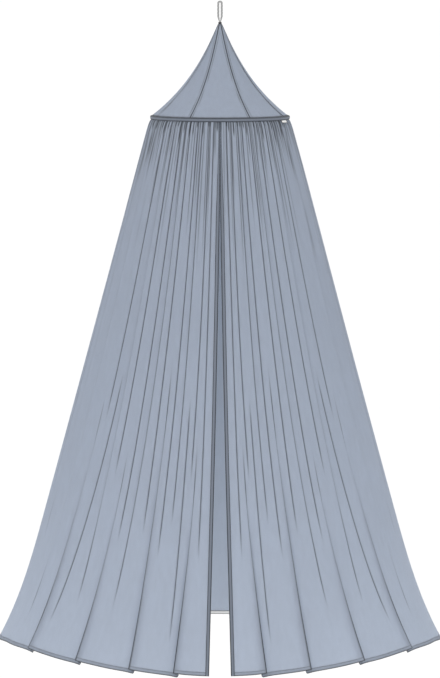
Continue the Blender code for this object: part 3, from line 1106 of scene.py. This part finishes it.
@dataclass
class FrontBinding:
    """The folded strip that wraps one edge of the front opening."""

    panel: SkirtPanel
    wall: float = 0.0007
    clear: float = 0.0002
    turned_in: float = 0.003
    edge_shade_tone: float = 0.9
    width_at_top: float = 0.25
    whole_below: float = 0.20
    covered: float = 0.94
    fuller: float = 0.45
    fullest_at: float = 0.90
    fuller_over: float = 0.10
    bends: tuple[float, ...] = (30.0, 60.0, 90.0, 120.0, 150.0)
    stitch_lines: tuple[float, float] = (0.12, 0.82)
    steps: int = 9

    def strip(self, shares: Sequence[float]) -> tuple[np.ndarray, np.ndarray]:
        """Lines down the panel beside its edge.

        Args:
            shares: How far in from the edge each line is, in binding widths.

        Returns:
            The points, row by row, and their normals.
        """
        drops = self.panel.drops()
        edge, _ = self.panel.edge_bearings(drops)
        radius = self.panel.shape.radius_at(drops, np.zeros_like(drops))
        eased = self.width_at_top + (1.0 - self.width_at_top) * smooth(drops / self.whole_below)
        step = np.degrees(self.panel.binding_width * eased / radius)
        lines = edge[:, None] + step[:, None] * np.array(shares)[None, :]
        bearings = self.panel.way * lines
        if self.panel.way < 0.0:
            bearings = bearings[:, ::-1]
        points, _ = self.panel.shape.surface(drops, bearings)
        normals = grid_normals(points)
        if self.panel.way < 0.0:
            return points[:, ::-1], normals[:, ::-1]
        return points, normals

    def build(self) -> bpy.types.Object:
        """Makes the binding."""
        shares = np.linspace(0.0, self.covered, self.steps)
        points, normals = self.strip(shares)
        inward = unit(points[:, 1] - points[:, 0])
        thick, clear, wall = self.panel.thickness, self.clear, self.wall
        beside = [(points[:, i] + normals[:, i] * (clear + wall * self._crown(s)))
                  for i, s in enumerate(shares)]
        under = [(points[:, i] - normals[:, i] * (thick + clear + wall * self._crown(s)))
                 for i, s in enumerate(shares)]
        middle = points[:, 0] - normals[:, 0] * thick / 2.0
        outer_round = self._bend(middle, normals[:, 0], inward, thick / 2.0 + clear + wall)
        inner_round = self._bend(middle, normals[:, 0], inward, thick / 2.0 + clear)
        near = [points[:, i] + normals[:, i] * clear for i in range(self.steps)]
        far = [points[:, i] - normals[:, i] * (thick + clear) for i in range(self.steps)]
        section = ([*reversed(beside)] + outer_round + under
                   + [*reversed(far)] + [*reversed(inner_round)] + near)
        grid = np.stack(section, 1)
        if self.panel.way < 0.0:
            grid = grid[:, ::-1]
        count, size = grid.shape[:2]
        around = np.concatenate([[0.0], np.cumsum(
            np.linalg.norm(np.diff(grid[count // 2], axis=0), axis=-1))])
        lengths = self.panel.drops() * self.panel.shape.drop
        flat = np.stack(np.broadcast_arrays(around[None, :], -lengths[:, None]), -1)
        plan = MeshPlan()
        faces = np.concatenate([swept_faces(count, size, False)[:, ::-1],
                                cap_faces(0, size, False),
                                cap_faces((count - 1) * size, size, True)])
        plan.add(grid, faces, flat, self._tones(size)[None, :])
        name = f"edge_binding_{self.panel.side.name.lower()}"
        piece = plan.build(name, Finish.TRIM, 70.0)
        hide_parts(f"{self.panel.name}_binding")
        f"net_{self.panel.name}"
        return piece

    def _crown(self, share: float) -> float:
        """The strip's thickness across its width, a little fuller at its turned edge."""
        return 1.0 + self.fuller * math.exp(-((share - self.fullest_at) / self.fuller_over) ** 2)

    def _bend(self, middle: np.ndarray, normal: np.ndarray, inward: np.ndarray,
              radius: float) -> list[np.ndarray]:
        """The half circle round the panel's edge, from its outside to its inside."""
        lines = []
        for angle in np.radians(self.bends):
            lines.append(middle + normal * radius * math.cos(angle)
                         - inward * radius * math.sin(angle))
        return lines

    def _tones(self, size: int) -> np.ndarray:
        """Shade painted along the strip's turned edges and along the fold that wraps the panel."""
        tone = np.zeros(size)
        for first, last in ((0, 2), (self.steps - 2, self.steps + 5),
                            (2 * self.steps + 3, 2 * self.steps + 5)):
            tone[first:last] = self.edge_shade_tone
        return tone if self.panel.way > 0.0 else tone[::-1]

    def guides(self) -> list[tuple[np.ndarray, np.ndarray]]:
        """The two lines of stitches down the binding's outside."""
        points, normals = self.strip((0.0, *self.stitch_lines, 0.92))
        height = self.clear + self.wall * 1.15
        return [(points[:, i] + normals[:, i] * height, normals[:, i]) for i in (1, 2)]


# ---------------------------------------------------------------- crown, hoop casing and label


@dataclass
class Crown:
    """Eight flared gores sewn side by side from the whipping down to the hoop."""

    top: float = -0.0765
    bottom: float = -0.4054
    tip_radius: float = 0.0062
    radius: float = 0.2436
    thickness: float = 0.0006
    seams: tuple[float, ...] = (-26.0, 26.0, 68.0, 112.0, 154.0, 206.0, 248.0, 292.0)
    rows: int = 72
    columns: int = 30
    straight_share: float = 0.63
    seam_width: float = 0.0021
    seam_tone: float = 0.95
    stitch_aside: float = 0.0075
    stitch_width: float = 0.0012
    stitch_tone: float = 0.40
    foot_width: float = 0.0024
    foot_tone: float = 0.80
    puckers: float = 62.0
    pucker_height: float = 0.018
    pucker_depth: float = 0.0005
    billow: float = 0.0005
    highest_lift: float = 0.0012

    def radius_at(self, fraction: np.ndarray) -> np.ndarray:
        """The concave line of the crown from its tip, 0, to the hoop, 1."""
        return self.tip_radius + (self.radius - self.tip_radius) * (
            self.straight_share * fraction + (1.0 - self.straight_share) * fraction ** 3)

    def span(self, index: int) -> tuple[float, float]:
        """A gore's two seams, in degrees."""
        start = self.seams[index]
        end = self.seams[(index + 1) % len(self.seams)]
        return start, end + 360.0 if end < start else end

    def points(self, fraction: np.ndarray, bearing: np.ndarray, lift: np.ndarray) -> np.ndarray:
        """Points of the crown raised from its surface by a lift."""
        radius = self.radius_at(fraction) + lift
        height = self.top + (self.bottom - self.top) * fraction + 0.5 * lift
        angle = np.radians(bearing)
        return np.stack([radius * np.sin(angle), -radius * np.cos(angle),
                         height + np.zeros_like(angle)], -1)

    def build(self) -> list[bpy.types.Object]:
        """Makes the eight gores."""
        return [self._gore(index) for index in range(len(self.seams))]

    def _gore(self, index: int) -> bpy.types.Object:
        """Makes one gore, with its turned seam edges raised and creased."""
        start, end = self.span(index)
        fraction = (np.linspace(0.0, 1.0, self.rows) ** 0.9)[:, None]
        radius = self.radius_at(fraction)
        margin = np.degrees(0.00002 / radius)
        ends = (0.0, 0.006, 0.013, 0.022, 0.034, 0.05, 0.08)
        inner = np.linspace(ends[-1], 1.0 - ends[-1], self.columns)[1:-1]
        share = np.array([*ends, *inner, *(1.0 - value for value in reversed(ends))])[None, :]
        bearing = start + margin + (end - start - 2.0 * margin) * share
        wide = np.radians(end - start) * radius
        aside = np.minimum(share, 1.0 - share) * wide
        lift = 0.0007 * bell(aside - 0.0042, 0.0030) - 0.0006 * bell(aside, 0.0015)
        waves = np.sin(share * math.pi * 5.0 + index)
        lift += self.billow * waves * smooth(fraction * 2.0 - 0.2)
        foot = (1.0 - fraction) * (self.top - self.bottom)
        pucker = np.sin(np.radians(bearing) * self.puckers + 1.7 * index)
        lift += self.pucker_depth * pucker * bell(foot, self.pucker_height)
        lift = np.minimum(lift, self.highest_lift)
        grid = self.points(fraction, bearing, lift)
        grid[-1, :, 2] = self.bottom
        grid[0, :, 2] = self.top
        normals = grid_normals(grid)
        tone = np.maximum(self.seam_tone * bell(aside, self.seam_width),
                          self.foot_tone * bell(foot, self.foot_width))
        stitched = bell(aside - self.stitch_aside, self.stitch_width) * smooth(fraction * 3.0)
        tone = np.maximum(tone, self.stitch_tone * stitched)
        tone = np.maximum(tone, 0.45 * bell(fraction * 0.33, 0.006))
        down = fraction * 0.43
        flat = np.stack(np.broadcast_arrays((share - 0.5) * wide, -down), -1)
        plan = sheet_plan(grid, grid - normals * self.thickness, flat, tone)
        name = f"crown_panel_{index + 1}"
        gore = plan.build(name, Finish.NET)
        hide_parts(f"crown_gore_{index + 1}")
        return gore

    def guides(self) -> list[tuple[np.ndarray, np.ndarray]]:
        """Two rows of stitches beside every seam."""
        lines = []
        for index in range(len(self.seams)):
            for aside in (-self.stitch_aside, self.stitch_aside):
                fraction = np.linspace(0.10, 0.985, 90)[:, None]
                radius = self.radius_at(fraction)
                centre = self.seams[index] + np.degrees(aside / radius)
                bearing = centre + np.degrees(np.array([[-0.001, 0.0, 0.001]]) / radius)
                grid = self.points(fraction, bearing, np.full_like(bearing, 0.0004))
                lines.append((grid[:, 1], grid_normals(grid)[:, 1]))
        return lines


@dataclass
class HoopCasing:
    """The cloth channel round the hoop, open towards the middle."""

    middle: float = -0.4123
    radius: float = 0.2515
    half_height: float = 0.0066
    depth: float = 0.0085
    wall: float = 0.0008
    outside_points: int = 14
    puckers: float = 62.0
    pucker_depth: float = 0.00028
    stitch_rows: tuple[float, float] = (-0.55, 0.55)
    stitch_lift: float = 0.0002
    steps: int = 288

    def profile(self) -> tuple[np.ndarray, np.ndarray]:
        """The channel's section.

        Returns:
            Its corners as (distance in from the outside, height), and the shade painted on them.
        """
        high = self.half_height
        lip = 1.0 - self.wall / high
        # Last number of a row: shade painted where the casing rounds over; a little on the lining.
        rows = ((self.depth, 1.0, 0.2), (0.0060, 1.0, 0.6), (0.0034, 1.0, 1.0),
                (0.0020, 0.94, 1.0), (0.0010, 0.78, 0.75), (0.0003, 0.5, 0.2), (0.0, 0.2, 0.0))
        lining = ((self.depth, lip), (0.0060, lip), (0.0036, lip),
                  (0.0025, 0.80), (0.0016, 0.58), (0.0010, 0.3))
        outside = [(inset, -share * high) for inset, share, _ in rows]
        outside += [(inset, share * high) for inset, share, _ in reversed(rows)]
        inside = [(inset, share * high) for inset, share in lining]
        inside += [(inset, -share * high) for inset, share in reversed(lining)]
        tone = [dark for _, _, dark in rows] + [dark for _, _, dark in reversed(rows)]
        tone += [0.1] * len(inside)
        return np.array(outside + inside), np.array(tone)

    def build(self) -> bpy.types.Object:
        """Makes the casing, slightly puckered by its gathers."""
        profile, tone = self.profile()
        angle = np.linspace(0.0, math.tau, self.steps, endpoint=False)[:, None]
        outer = np.arange(len(profile)) < self.outside_points
        front = (np.abs(profile[:, 1]) < 0.9 * self.half_height) & outer
        uneven = angle * self.puckers + 0.8 * np.sin(angle * 7.0)
        pucker = self.pucker_depth * (1.0 + np.sin(uneven))
        radius = self.radius - profile[None, :, 0] + pucker * front[None, :]
        height = self.middle + profile[None, :, 1] + 0.0 * angle
        grid = np.stack([radius * np.sin(angle), -radius * np.cos(angle), height], -1)
        around = np.concatenate([[0.0], np.cumsum(np.linalg.norm(np.diff(profile, axis=0),
                                                                 axis=-1))])
        flat = np.stack(np.broadcast_arrays(angle * self.radius - 0.8, around[None, :]), -1)
        plan = MeshPlan()
        plan.add(grid, swept_faces(self.steps, len(profile), True), flat, tone[None, :])
        casing = plan.build("hoop_casing_cloth", Finish.TRIM, 70.0)
        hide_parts("hoop_casing")
        round(math.tau * self.radius, 3)
        return casing

    def guides(self) -> list[tuple[np.ndarray, np.ndarray]]:
        """The two rows of stitches along the casing's foot and head."""
        angle = np.linspace(0.0, math.tau, 240)
        out = np.stack([np.sin(angle), -np.cos(angle), np.zeros_like(angle)], -1)
        lines = []
        for height in self.stitch_rows:
            line = out * (self.radius + self.stitch_lift)
            line[:, 2] = self.middle + height * self.half_height
            lines.append((line, out))
        return lines


@dataclass
class SideLabel:
    """A small blank woven label sewn in under the casing."""

    first: float = 60.5
    last: float = 69.5
    top: float = -0.4192
    height: float = 0.0080
    top_radius: float = 0.2526
    bottom_radius: float = 0.2572
    thickness: float = 0.0008
    bow: float = 0.0005
    wave: float = 0.0004
    edge_width: float = 0.0010
    foot_width: float = 0.0008

    def build(self) -> bpy.types.Object:
        """Makes the label."""
        down = np.linspace(0.0, 1.0, 9)[:, None]
        share = np.linspace(0.0, 1.0, 25)[None, :]
        angle = np.radians(self.first + (self.last - self.first) * share)
        radius = self.top_radius + (self.bottom_radius - self.top_radius) * down ** 1.1
        radius = radius - self.bow * np.sin(share * math.pi) * down
        height = self.top - self.height * down + self.wave * np.sin(share * 7.0) * down
        grid = np.stack(np.broadcast_arrays(radius * np.sin(angle), -radius * np.cos(angle),
                                            height + 0.0 * angle), -1)
        normals = grid_normals(grid)
        wide = self.top_radius * math.radians(self.last - self.first)
        side = np.minimum(share, 1.0 - share) * wide
        foot = (1.0 - down) * self.height
        tone = np.maximum(bell(side, self.edge_width), bell(foot, self.foot_width))
        flat = np.stack(np.broadcast_arrays(share * wide, -down * self.height), -1)
        plan = sheet_plan(grid, grid - normals * self.thickness, flat, tone)
        label = plan.build("blank_label", Finish.COTTON)
        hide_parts("side_label")
        return label


# ---------------------------------------------------------------- cord loop and whipping


@dataclass
class CordLoop:
    """The laid cotton cord loop: a round top, two legs and a pinched neck."""

    cord_radius: float = 0.0036
    width: float = 0.0200
    straight_end: float = -0.046
    neck_top: float = -0.0705
    neck_spread: float = 0.0022
    squeeze: float = 0.556
    bottom: float = -0.0810
    strands: int = 3
    lay: float = 0.0125
    around: int = 30
    along: int = 420

    def route(self) -> np.ndarray:
        """Points of the loop's centre line, each with its share of the cord's radius."""
        half = self.width / 2.0 - self.cord_radius
        top_centre = self.cord_radius - half
        bottom_centre = self.bottom + self.neck_spread
        right = []
        for step in range(1, 10):
            angle = math.radians(90.0 - 10.0 * step)
            right.append((half * math.cos(angle), top_centre + half * math.sin(angle), 1.0))
        for step in range(1, 7):
            right.append((half, top_centre + (self.straight_end - top_centre) * step / 6.0, 1.0))
        for step in range(1, 8):
            way = step / 7.0
            ease = float(smooth(way))
            right.append((half + (self.neck_spread - half) * ease,
                          self.straight_end + (self.neck_top - self.straight_end) * way,
                          1.0 + (self.squeeze - 1.0) * ease))
        for way in (0.5, 1.0):
            right.append((self.neck_spread,
                          self.neck_top + (bottom_centre - self.neck_top) * way, self.squeeze))
        for angle in (-30.0, -60.0):
            turn = math.radians(angle)
            right.append((self.neck_spread * math.cos(turn),
                          bottom_centre + self.neck_spread * math.sin(turn), self.squeeze))
        left = [(-x, z, share) for x, z, share in reversed(right)]
        return np.array([(0.0, self.cord_radius, 1.0), *right,
                         (0.0, self.bottom, self.squeeze), *left])

    def build(self) -> bpy.types.Object:
        """Makes the cord as one twisted tube whose section has a lobe for each strand."""
        route = self.route()
        closed = np.concatenate([route, route[:1]])
        reach = np.concatenate([[0.0], np.cumsum(np.linalg.norm(np.diff(closed[:, :2], axis=0),
                                                                axis=-1))])
        total = reach[-1]
        at = np.linspace(0.0, total, self.along, endpoint=False)
        x, z, share = (np.interp(at, reach, closed[:, axis]) for axis in range(3))
        spread = 7
        kernel = np.hanning(spread + 2)[1:-1]
        kernel /= kernel.sum()
        x, z = (np.convolve(np.concatenate([line[-spread:], line, line[:spread]]), kernel,
                            "same")[spread:-spread] for line in (x, z))
        tangent = unit(np.stack([np.roll(x, -1) - np.roll(x, 1), np.zeros_like(x),
                                 np.roll(z, -1) - np.roll(z, 1)], -1))
        across = np.stack([-tangent[:, 2], np.zeros_like(x), tangent[:, 0]], -1)
        deep = np.array((0.0, 1.0, 0.0))
        turn = np.linspace(0.0, math.tau, self.around, endpoint=False)[None, :]
        twists = round(total / self.lay)
        twist = turn * self.strands + (at / total * twists * math.tau)[:, None]
        lobe = np.abs(np.sin(twist * 0.5))
        radius = self.cord_radius * share[:, None] * (0.80 + 0.20 * lobe ** 0.6)
        centre = np.stack([x, np.zeros_like(x), z], -1)
        grid = (centre[:, None, :] + radius[..., None] * (
            np.cos(turn)[..., None] * across[:, None, :] + np.sin(turn)[..., None] * deep))
        flat = np.stack(np.broadcast_arrays(turn * self.cord_radius, at[:, None]), -1)
        plan = MeshPlan()
        # Shade painted into the grooves between the strands.
        plan.add(grid, swept_faces(self.along, self.around, True), flat,
                 np.clip(1.0 - lobe * 2.2, 0.0, 1.0))
        loop = plan.build("cord_loop", Finish.CORD, 80.0)
        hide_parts("hanging_loop")
        return loop


@dataclass
class Whipping:
    """Dark thread wound tightly round the loop's neck."""

    top: float = -0.0705
    bottom: float = -0.0762
    wide: float = 0.0056
    deep: float = 0.0039
    turns: int = 9
    rows_per_turn: int = 8
    steps: int = 64

    def build(self) -> bpy.types.Object:
        """Makes the whipping as an oval sleeve with a groove between its turns."""
        rows = self.turns * self.rows_per_turn + 1
        share = np.linspace(0.0, 1.0, rows)
        height = self.top + (self.bottom - self.top) * share
        round_turn = np.abs(np.sin(share * self.turns * math.pi))
        swell = 0.00035 * np.sqrt(round_turn) + 0.0002 * np.sin(share * math.pi)
        angle = np.linspace(0.0, math.tau, self.steps, endpoint=False)
        outer = self._ring(angle, height, swell)
        inner = self._ring(angle, height, np.full(rows, -0.0005))
        section = np.concatenate([outer, inner[::-1]], 0)
        grid = np.swapaxes(section, 0, 1)
        # Shade painted into the groove between turns.
        tone = np.concatenate([0.6 * (1.0 - round_turn), np.zeros(rows)])
        flat = np.stack(np.broadcast_arrays(angle[:, None] * self.wide,
                                            np.arange(2 * rows)[None, :] * 0.0001), -1)
        plan = MeshPlan()
        plan.add(grid, swept_faces(self.steps, 2 * rows, True)[:, ::-1], flat, tone[None, :])
        piece = plan.build("neck_whipping", Finish.WHIPPING, 80.0)
        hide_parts("loop_whipping")
        return piece

    def _ring(self, angle: np.ndarray, height: np.ndarray, swell: np.ndarray) -> np.ndarray:
        """Oval rings at the given heights."""
        x = (self.wide + swell)[:, None] * np.cos(angle)[None, :]
        y = (self.deep + swell)[:, None] * np.sin(angle)[None, :]
        return np.stack([x, y, np.broadcast_to(height[:, None], x.shape)], -1)


# ---------------------------------------------------------------- stitches


@dataclass
class StitchRow:
    """Rows of equal stitches laid along lines on the cloth, made with Geometry Nodes."""

    name: str
    guides: list[tuple[np.ndarray, np.ndarray]]
    pitch: float = 0.0042
    length: float = 0.0028
    radius: float = 0.00028
    finish: Finish = Finish.STITCH
    seed: int = 3
    bead_sides: ClassVar[int] = 5
    bead_rings: ClassVar[int] = 3
    least_size: ClassVar[float] = 0.86
    most_size: ClassVar[float] = 1.08

    def build(self) -> bpy.types.Object:
        """Makes the stitches as one plain mesh."""
        guide = self._guide_object()
        tree, sockets = self._tree()
        modifier = guide.modifiers.new("stitches", "NODES")
        modifier.node_group = tree
        modifier[sockets["Pitch"]] = self.pitch
        modifier[sockets["Length"]] = self.length
        modifier[sockets["Radius"]] = self.radius
        modifier[sockets["Seed"]] = self.seed
        modifier[sockets["Thread"]] = self.finish.material()
        bpy.context.view_layer.update()
        ready = guide.evaluated_get(bpy.context.evaluated_depsgraph_get())
        mesh = bpy.data.meshes.new_from_object(ready)
        mesh.name = self.name
        guide.modifiers.remove(modifier)
        bpy.data.objects.remove(guide)
        for attribute in [item.name for item in mesh.attributes if item.name == "outward"]:
            mesh.attributes.remove(mesh.attributes[attribute])
        piece = placed(self.name, mesh)
        return piece

    def _guide_object(self) -> bpy.types.Object:
        """The lines to sew along, with the way the cloth faces stored at each point."""
        mesh = bpy.data.meshes.new(f"{self.name}_guide")
        points: list[list[float]] = []
        edges: list[tuple[int, int]] = []
        for line, _ in self.guides:
            first = len(points)
            points += line.tolist()
            edges += [(first + step, first + step + 1) for step in range(len(line) - 1)]
        mesh.from_pydata(points, edges, [])
        outward = mesh.attributes.new("outward", "FLOAT_VECTOR", "POINT")
        facing = np.concatenate([normals for _, normals in self.guides])
        outward.data.foreach_set("vector", facing.astype(np.float32).ravel())
        guide = bpy.data.objects.new(mesh.name, mesh)
        bpy.context.scene.collection.objects.link(guide)
        return guide

    @staticmethod
    def _tree() -> tuple[bpy.types.GeometryNodeTree, dict[str, str]]:
        """Builds the stitch tree once.

        Returns:
            The tree, and the identifier of each of its named inputs.
        """
        tree = bpy.data.node_groups.get("sewn_stitches")
        if tree is None:
            tree = bpy.data.node_groups.new("sewn_stitches", "GeometryNodeTree")
            kinds = (("Lines", "NodeSocketGeometry"), ("Pitch", "NodeSocketFloat"),
                     ("Length", "NodeSocketFloat"), ("Radius", "NodeSocketFloat"),
                     ("Seed", "NodeSocketInt"), ("Thread", "NodeSocketMaterial"))
            for name, kind in kinds:
                tree.interface.new_socket(name=name, in_out="INPUT", socket_type=kind)
            tree.interface.new_socket(name="Stitches", in_out="OUTPUT",
                                      socket_type="NodeSocketGeometry")
            StitchRow._fill(tree)
        names = {item.name: item.identifier for item in tree.interface.items_tree
                 if item.in_out == "INPUT"}
        return tree, names

    @staticmethod
    def _fill(tree: bpy.types.GeometryNodeTree) -> None:
        """Adds the nodes that lay one stitch at each step of the lines."""

        def add(kind: str, settings: Sockets | None = None, **links: Any) -> bpy.types.Node:
            """Adds a node with its settings and its inputs by name."""
            node = tree.nodes.new(kind)
            for key, setting in (settings or {}).items():
                setattr(node, key, setting)
            for key, value in links.items():
                socket = node.inputs[key.replace("_", " ")]
                if isinstance(value, bpy.types.NodeSocket):
                    tree.links.new(value, socket)
                else:
                    socket.default_value = value
            return node

        given = add("NodeGroupInput")
        curve = add("GeometryNodeMeshToCurve", Mesh=given.outputs["Lines"])
        steps = add("GeometryNodeResampleCurve", {"mode": "LENGTH"},
                    Curve=curve.outputs[0], Length=given.outputs["Pitch"])
        outward = add("GeometryNodeInputNamedAttribute", {"data_type": "FLOAT_VECTOR"},
                      Name="outward")
        tangent = add("GeometryNodeInputTangent")
        run = add("FunctionNodeAlignRotationToVector", {"axis": "X"}, Vector=tangent.outputs[0])
        face = add("FunctionNodeAlignRotationToVector", {"axis": "Z", "pivot_axis": "X"},
                   Rotation=run.outputs[0], Vector=outward.outputs[0])
        bead = add("GeometryNodeMeshUVSphere", Segments=StitchRow.bead_sides,
                   Rings=StitchRow.bead_rings, Radius=1.0)
        half = add("ShaderNodeMath", {"operation": "MULTIPLY"})
        tree.links.new(given.outputs["Length"], half.inputs[0])
        half.inputs[1].default_value = 0.5
        size = add("ShaderNodeCombineXYZ", X=half.outputs[0], Y=given.outputs["Radius"],
                   Z=given.outputs["Radius"])
        shaped = add("GeometryNodeTransform", Geometry=bead.outputs[0], Scale=size.outputs[0])
        vary = add("FunctionNodeRandomValue", {"data_type": "FLOAT"},
                   Seed=given.outputs["Seed"])
        floats = [socket for socket in vary.inputs if socket.type == "VALUE"]
        floats[0].default_value = StitchRow.least_size
        floats[1].default_value = StitchRow.most_size
        scale = next(socket for socket in vary.outputs if socket.type == "VALUE")
        lay = add("GeometryNodeInstanceOnPoints", Points=steps.outputs[0],
                  Instance=shaped.outputs[0], Rotation=face.outputs[0], Scale=scale)
        solid = add("GeometryNodeRealizeInstances", Geometry=lay.outputs[0])
        soft = add("GeometryNodeSetShadeSmooth", Geometry=solid.outputs[0])
        dressed = add("GeometryNodeSetMaterial", Geometry=soft.outputs[0],
                      Material=given.outputs["Thread"])
        done = add("NodeGroupOutput")
        tree.links.new(dressed.outputs[0], done.inputs[0])


# ---------------------------------------------------------------- studio


@dataclass
class Studio:
    """The pale floor, the soft light and the camera."""

    floor_height: float = -7.0
    floor_size: float = 900.0
    distance: float = 16.0
    eye_height: float = 0.28
    tilt: float = 5.340
    lens: float = 235.575
    surroundings: float = 1.08

    def build(self) -> None:
        """Sets the stage."""
        self._floor()
        self._world()
        self._light("key_light", (-5.5, -8.0, 4.5), (0.0, 0.0, -1.2), 5.0, 260.0)
        self._light("fill_light", (6.5, -7.0, 2.5), (0.0, 0.0, -1.2), 5.0, 150.0)
        self._light("bounce_light", (0.0, 0.0, -3.1), (0.0, 0.0, 0.0), 1.3, 3.2)
        self._camera()

    def _floor(self) -> None:
        """Makes the floor."""
        half = self.floor_size / 2.0
        mesh = bpy.data.meshes.new("studio_floor")
        corners = [(-half, -half), (half, -half), (half, half), (-half, half)]
        mesh.from_pydata([(x, y, self.floor_height) for x, y in corners], [], [(0, 1, 2, 3)])
        mesh.materials.append(FloorFinish().build())
        floor = bpy.data.objects.new("studio_floor", mesh)
        bpy.context.scene.collection.objects.link(floor)

    def _world(self) -> None:
        """Makes the even pale surroundings."""
        world = bpy.data.worlds.new("studio_world")
        world.use_nodes = True
        back = world.node_tree.nodes["Background"]
        back.inputs["Color"].default_value = (1.0, 1.0, 1.0, 1.0)
        back.inputs["Strength"].default_value = self.surroundings
        bpy.context.scene.world = world

    def _light(self, name: str, place: tuple[float, float, float],
               target: tuple[float, float, float], size: float, power: float) -> None:
        """Adds a soft round light.

        Args:
            name: The light's name.
            place: Where it stands.
            target: What it faces.
            size: Its width.
            power: Its power in watts.
        """
        lamp = bpy.data.lights.new(name, "AREA")
        lamp.shape = "DISK"
        lamp.size = size
        lamp.energy = power
        item = bpy.data.objects.new(name, lamp)
        item.location = place
        item.visible_camera = False
        aim = Vector(target) - Vector(place)
        item.rotation_euler = aim.to_track_quat("-Z", "Y").to_euler()
        bpy.context.scene.collection.objects.link(item)

    def _camera(self) -> None:
        """Adds the camera, far off and a little above the loop, tipped down."""
        lens = bpy.data.cameras.new("camera")
        lens.sensor_fit = "AUTO"
        lens.sensor_width = 36.0
        lens.lens = self.lens
        lens.clip_end = 2000.0
        camera = bpy.data.objects.new("camera", lens)
        camera.location = (0.0, -self.distance, self.eye_height)
        camera.rotation_euler = (math.radians(90.0 - self.tilt), 0.0, 0.0)
        bpy.context.scene.collection.objects.link(camera)
        bpy.context.scene.camera = camera
        bpy.context.scene.view_settings.view_transform = "Standard"


def dress_hoop(frame: dict[str, Any]) -> None:
    """Gives the hoop's own mesh its finish."""
    hoop = frame["nodes"]["hoop"]
    hoop.data.materials.clear()
    hoop.data.materials.append(Finish.ROD.material())
    LOG.info("hoop: %d faces, kept", len(hoop.data.polygons))


def main() -> None:
    """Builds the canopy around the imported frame."""
    logging.basicConfig(level=logging.INFO, format="%(message)s")
    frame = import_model()
    Studio().build()
    dress_hoop(frame)
    casing = HoopCasing()
    casing.build()
    shape = SkirtShape()
    panels = [SkirtPanel(shape, end, side) for end in End for side in Side]
    for panel in panels:
        panel.build()
    bindings = [FrontBinding(panel) for panel in panels if panel.end is End.FRONT]
    for binding in bindings:
        binding.build()
    crown = Crown()
    crown.build()
    SideLabel().build()
    CordLoop().build()
    Whipping().build()
    StitchRow("hem_stitches", [panel.hem_guide() for panel in panels]).build()
    StitchRow("binding_stitches", [line for item in bindings for line in item.guides()]).build()
    StitchRow("crown_stitches", crown.guides()).build()
    StitchRow("casing_stitches", casing.guides()).build()


if __name__ == "__main__":
    main()
